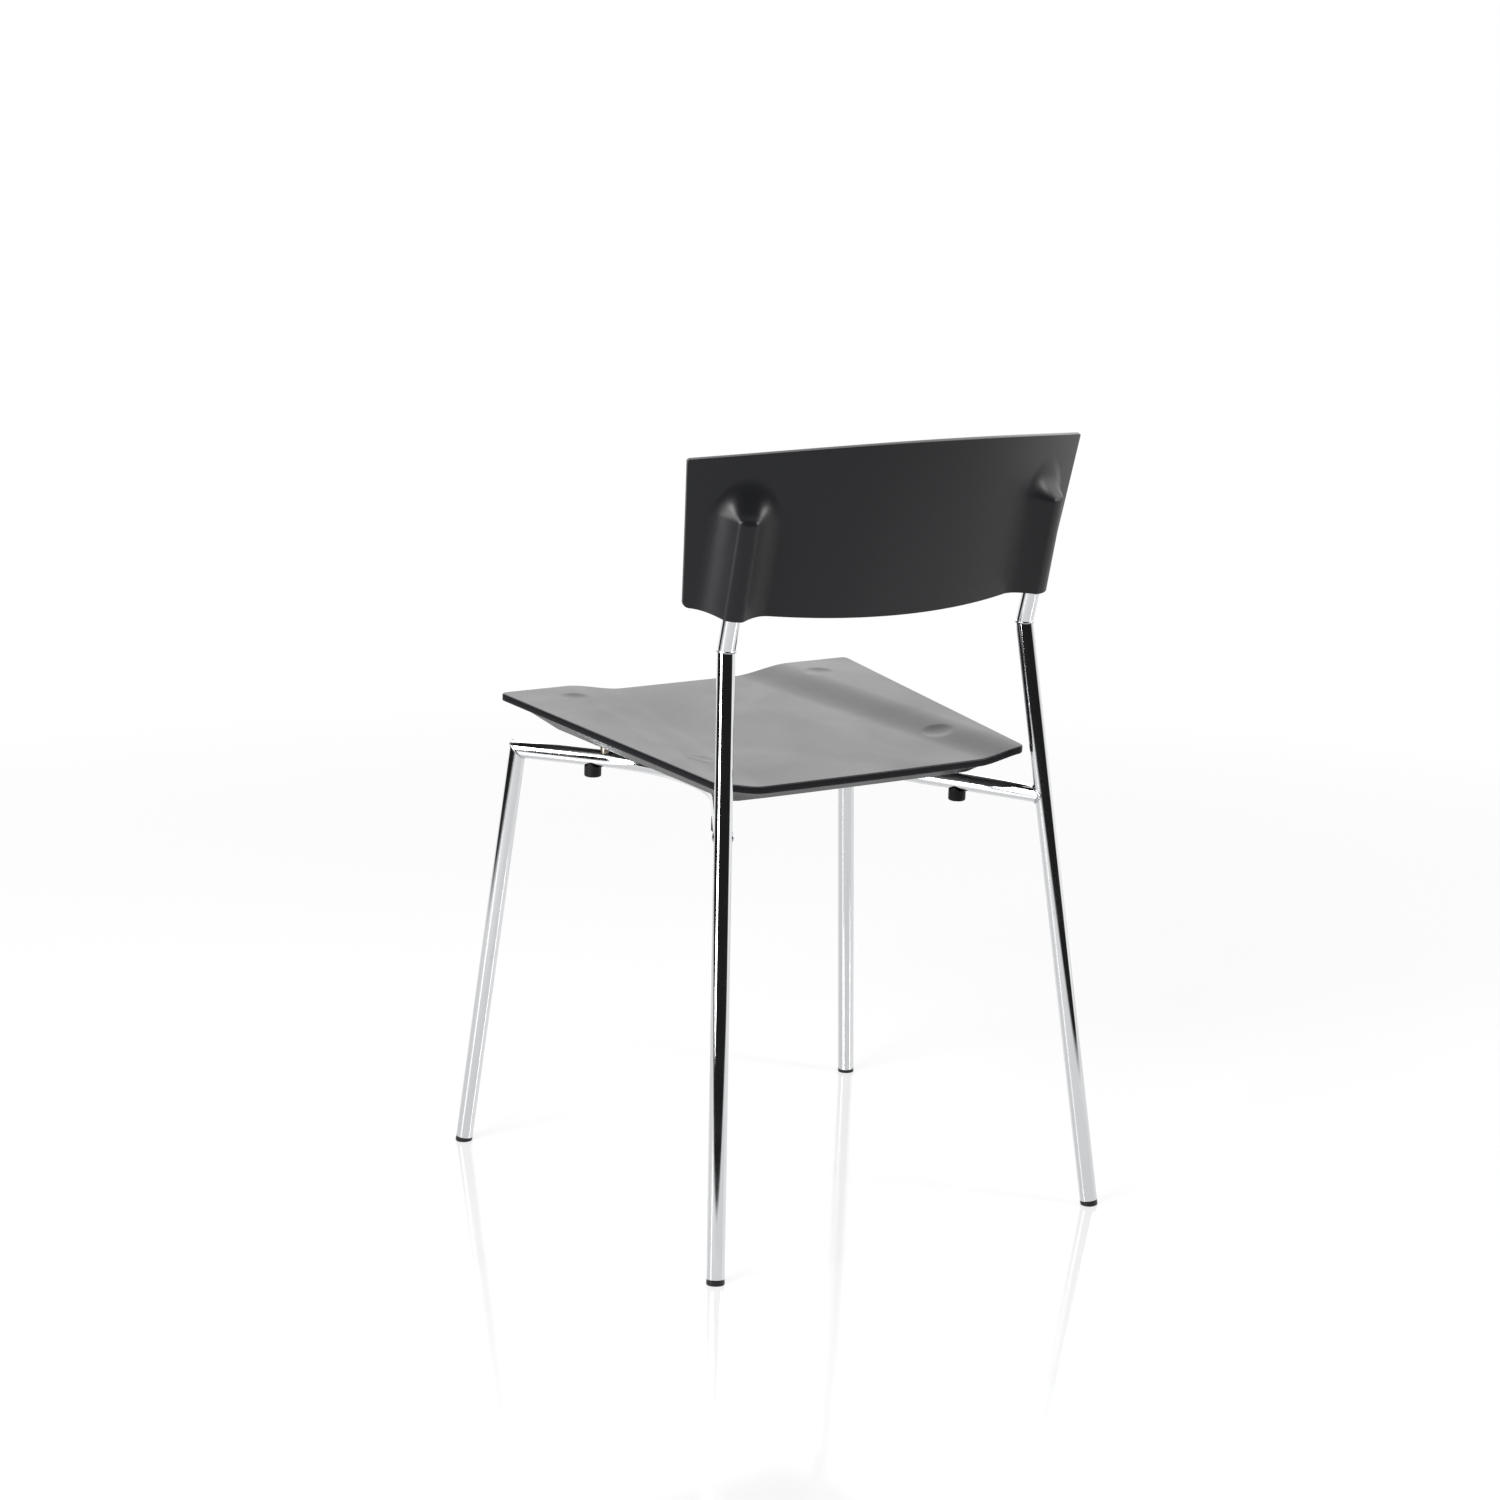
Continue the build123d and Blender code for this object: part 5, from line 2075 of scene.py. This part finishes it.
@dataclass
class Studio:
    """A white floor in a white room, soft lamps, and the camera."""

    floor_radius: float = 4.0
    floor_sides: int = 128
    floor_grey: float = 0.22
    floor_glow: float = 0.66
    floor_dimming: float = 0.14
    floor_gloss: float = 0.06
    floor_roughness: float = 0.09
    white_start: float = 1.1
    white_end: float = 2.4
    near_floor: float = 1.6
    floor_fade: float = 0.7
    room_light: float = 0.5
    dark_level: float = 0.015
    backdrop_heading: float = 222.0
    backdrop_spread: float = 80.0
    backdrop_fade: float = 8.0
    backdrop_zenith: float = 0.001
    backdrop_top: float = 0.85
    top_fade: float = 0.12
    backdrop_foot: float = 0.55
    foot_band: tuple[float, float] = (-0.06, 0.02)
    backdrop_light: float = 2.8
    light_band: tuple[float, float] = (0.06, 0.26)
    azimuth: float = 147.926
    elevation: float = 12.742
    roll: float = 1.067
    distance: float = 3.513959
    aim: Triple = (0.02576, -0.03046, 0.45387)
    lens: float = 81.27
    sensor_width: float = 36.0
    clipping: tuple[float, float] = (0.05, 50.0)

    def world(self) -> None:
        """White to the eye and to glass; metal sees the backdrop, and a dark room elsewhere."""
        world = bpy.data.worlds.new("white room")
        bpy.context.scene.world = world
        world.use_nodes = True
        graph = Graph(world.node_tree)
        rays = graph.add("ShaderNodeLightPath").outputs
        backdrop = self.backdrop(graph)
        level = graph.math("MULTIPLY_ADD", backdrop, 1 - self.dark_level, self.dark_level)
        seen = graph.math("MAXIMUM", rays["Is Camera Ray"], rays["Is Transmission Ray"])
        glossy = graph.math("MULTIPLY", level, rays["Is Glossy Ray"])
        plain = graph.math("MULTIPLY", rays["Is Diffuse Ray"], self.room_light)
        strength = graph.math("ADD", graph.math("ADD", seen, glossy), plain)
        back = graph.add("ShaderNodeBackground", Color=(1, 1, 1, 1), Strength=strength)
        graph.add("ShaderNodeOutputWorld", Surface=back.outputs[0])

    def backdrop(self, graph: Graph) -> bpy.types.NodeSocket:
        """How bright the room is in each direction.

        It is lit within a spread of headings, and fades out at both sides and at the top.
        Its foot is dim, and above the horizon it brightens to its full light.

        Args:
            graph: the world's graph.

        Returns:
            The brightness, where 1 is white.
        """
        direction = graph.add("ShaderNodeTexCoord").outputs["Generated"]
        x, y, z = graph.add("ShaderNodeSeparateXYZ", Vector=direction).outputs
        squares = [graph.math("MULTIPLY", axis, axis) for axis in (x, y)]
        flat = graph.math("SQRT", graph.math("ADD", *squares))
        heading, spread, fade = np.radians(
            [self.backdrop_heading, self.backdrop_spread, self.backdrop_fade]
        )
        part = graph.math("MULTIPLY", y, float(np.sin(heading)))
        toward = graph.math("MULTIPLY_ADD", x, float(np.cos(heading)), part)
        facing = graph.math("DIVIDE", toward, graph.math("MAXIMUM", flat, self.backdrop_zenith))
        edges = (float(np.cos(spread)), float(np.cos(spread - fade)))
        inside = graph.spread(facing, 0.0, 1.0, *edges)
        top = graph.spread(z, 1.0, 0.0, self.backdrop_top, self.backdrop_top + self.top_fade)
        foot = graph.spread(z, 1.0, self.backdrop_foot, *self.foot_band)
        gain = graph.spread(z, 0.0, self.backdrop_light - self.backdrop_foot, *self.light_band)
        shape = graph.math("MULTIPLY", inside, top)
        return graph.math("MULTIPLY", shape, graph.math("ADD", foot, gain))

    def floor(self) -> None:
        """The floor: a flat disc, white to the eye, with the chair's faint shadow and image."""
        angle = np.linspace(0, 2 * np.pi, self.floor_sides, endpoint=False)
        mesh = bpy.data.meshes.new("studio_floor")
        edge = self.floor_radius * np.stack([np.cos(angle), np.sin(angle), 0 * angle], axis=1)
        mesh.from_pydata(edge, [], [list(range(len(edge)))])
        mesh.materials.append(self.floor_finish())
        put_in_scene("studio_floor", mesh)

    def floor_finish(self) -> bpy.types.Material:
        """The floor's material.

        Near the chair it is matt with a glow and a little gloss, and further out plain white.
        Past that, and from below, it is clear: metal looks past it into the room.

        Returns:
            The material.
        """
        material = bpy.data.materials.new("studio floor")
        material.use_nodes = True
        graph = Graph(material.node_tree)
        where = graph.add("ShaderNodeTexCoord").outputs["Object"]
        reach = graph.add("ShaderNodeVectorMath", operation="LENGTH")
        graph.feed(reach, 0, where)
        distance = reach.outputs["Value"]
        glossy = graph.add("ShaderNodeLightPath").outputs["Is Glossy Ray"]
        glow, white = (
            graph.add(
                "ShaderNodeEmission",
                Color=(1, 1, 1, 1),
                Strength=graph.math("MULTIPLY_ADD", glossy, -self.floor_dimming, level),
            ).outputs[0]
            for level in (self.floor_glow, 1.0)
        )
        grey = (*shaded((1, 1, 1), self.floor_grey), 1)
        matt = graph.add("ShaderNodeBsdfDiffuse", Color=grey).outputs[0]
        own = graph.in_order("ShaderNodeAddShader", matt, glow)
        gloss = graph.add(
            "ShaderNodeBsdfGlossy", Color=(1, 1, 1, 1), Roughness=self.floor_roughness
        ).outputs[0]
        polished = graph.in_order("ShaderNodeMixShader", self.floor_gloss, own, gloss)
        far = graph.spread(distance, 0.0, 1.0, self.white_start, self.white_end)
        faded = graph.in_order("ShaderNodeMixShader", far, polished, white)
        fade_end = self.near_floor + self.floor_fade
        past = graph.math(
            "MULTIPLY", graph.spread(distance, 0.0, 1.0, self.near_floor, fade_end), glossy
        )
        under = graph.add("ShaderNodeNewGeometry").outputs["Backfacing"]
        through = graph.math("MAXIMUM", past, under)
        clear = graph.add("ShaderNodeBsdfTransparent").outputs[0]
        whole = graph.in_order("ShaderNodeMixShader", through, faded, clear)
        graph.add("ShaderNodeOutputMaterial", Surface=whole)
        return material

    def camera(self) -> None:
        """The camera: it looks at the aim from an azimuth and elevation, turned a little."""
        azimuth, elevation, roll = np.radians([self.azimuth, self.elevation, self.roll])
        level = np.cos(elevation)
        away = np.array([np.sin(azimuth) * level, -np.cos(azimuth) * level, np.sin(elevation)])
        level_right = unit(np.cross(-away, [0, 0, 1.0]))
        level_up = np.cross(level_right, -away)
        right = np.cos(roll) * level_right + np.sin(roll) * level_up
        up = np.cos(roll) * level_up - np.sin(roll) * level_right
        data = bpy.data.cameras.new("camera")
        data.lens, data.sensor_width = self.lens, self.sensor_width
        data.clip_start, data.clip_end = self.clipping
        place = np.array(self.aim) + self.distance * away
        camera = put_in_scene("camera", data)
        columns = np.stack([right, up, away, place], axis=1)
        camera.matrix_world = Matrix([*columns.tolist(), [0, 0, 0, 1]])
        bpy.context.scene.camera = camera

    def build(self) -> None:
        """Builds the room, the lamps and the camera."""
        self.world()
        self.floor()
        for lamp in LAMPS:
            lamp.build()
        self.camera()
        bpy.context.scene.view_settings.view_transform = "Standard"


# ---- The chair ----


def main() -> None:
    """Builds the chair and its studio."""
    logging.basicConfig(level=logging.INFO, format="%(message)s")
    finishes = make_finishes()
    plan = FramePlan()
    fittings = RailFittings(plan, finishes)
    for assembly in (
        TubeFrame(plan, finishes),
        Glides(plan, finishes),
        fittings,
        Seat(plan, fittings, finishes),
        Backrest(plan, finishes),
        Studio(),
    ):
        assembly.build()
        log.info("built %s", type(assembly).__name__)


if __name__ == "__main__":
    main()
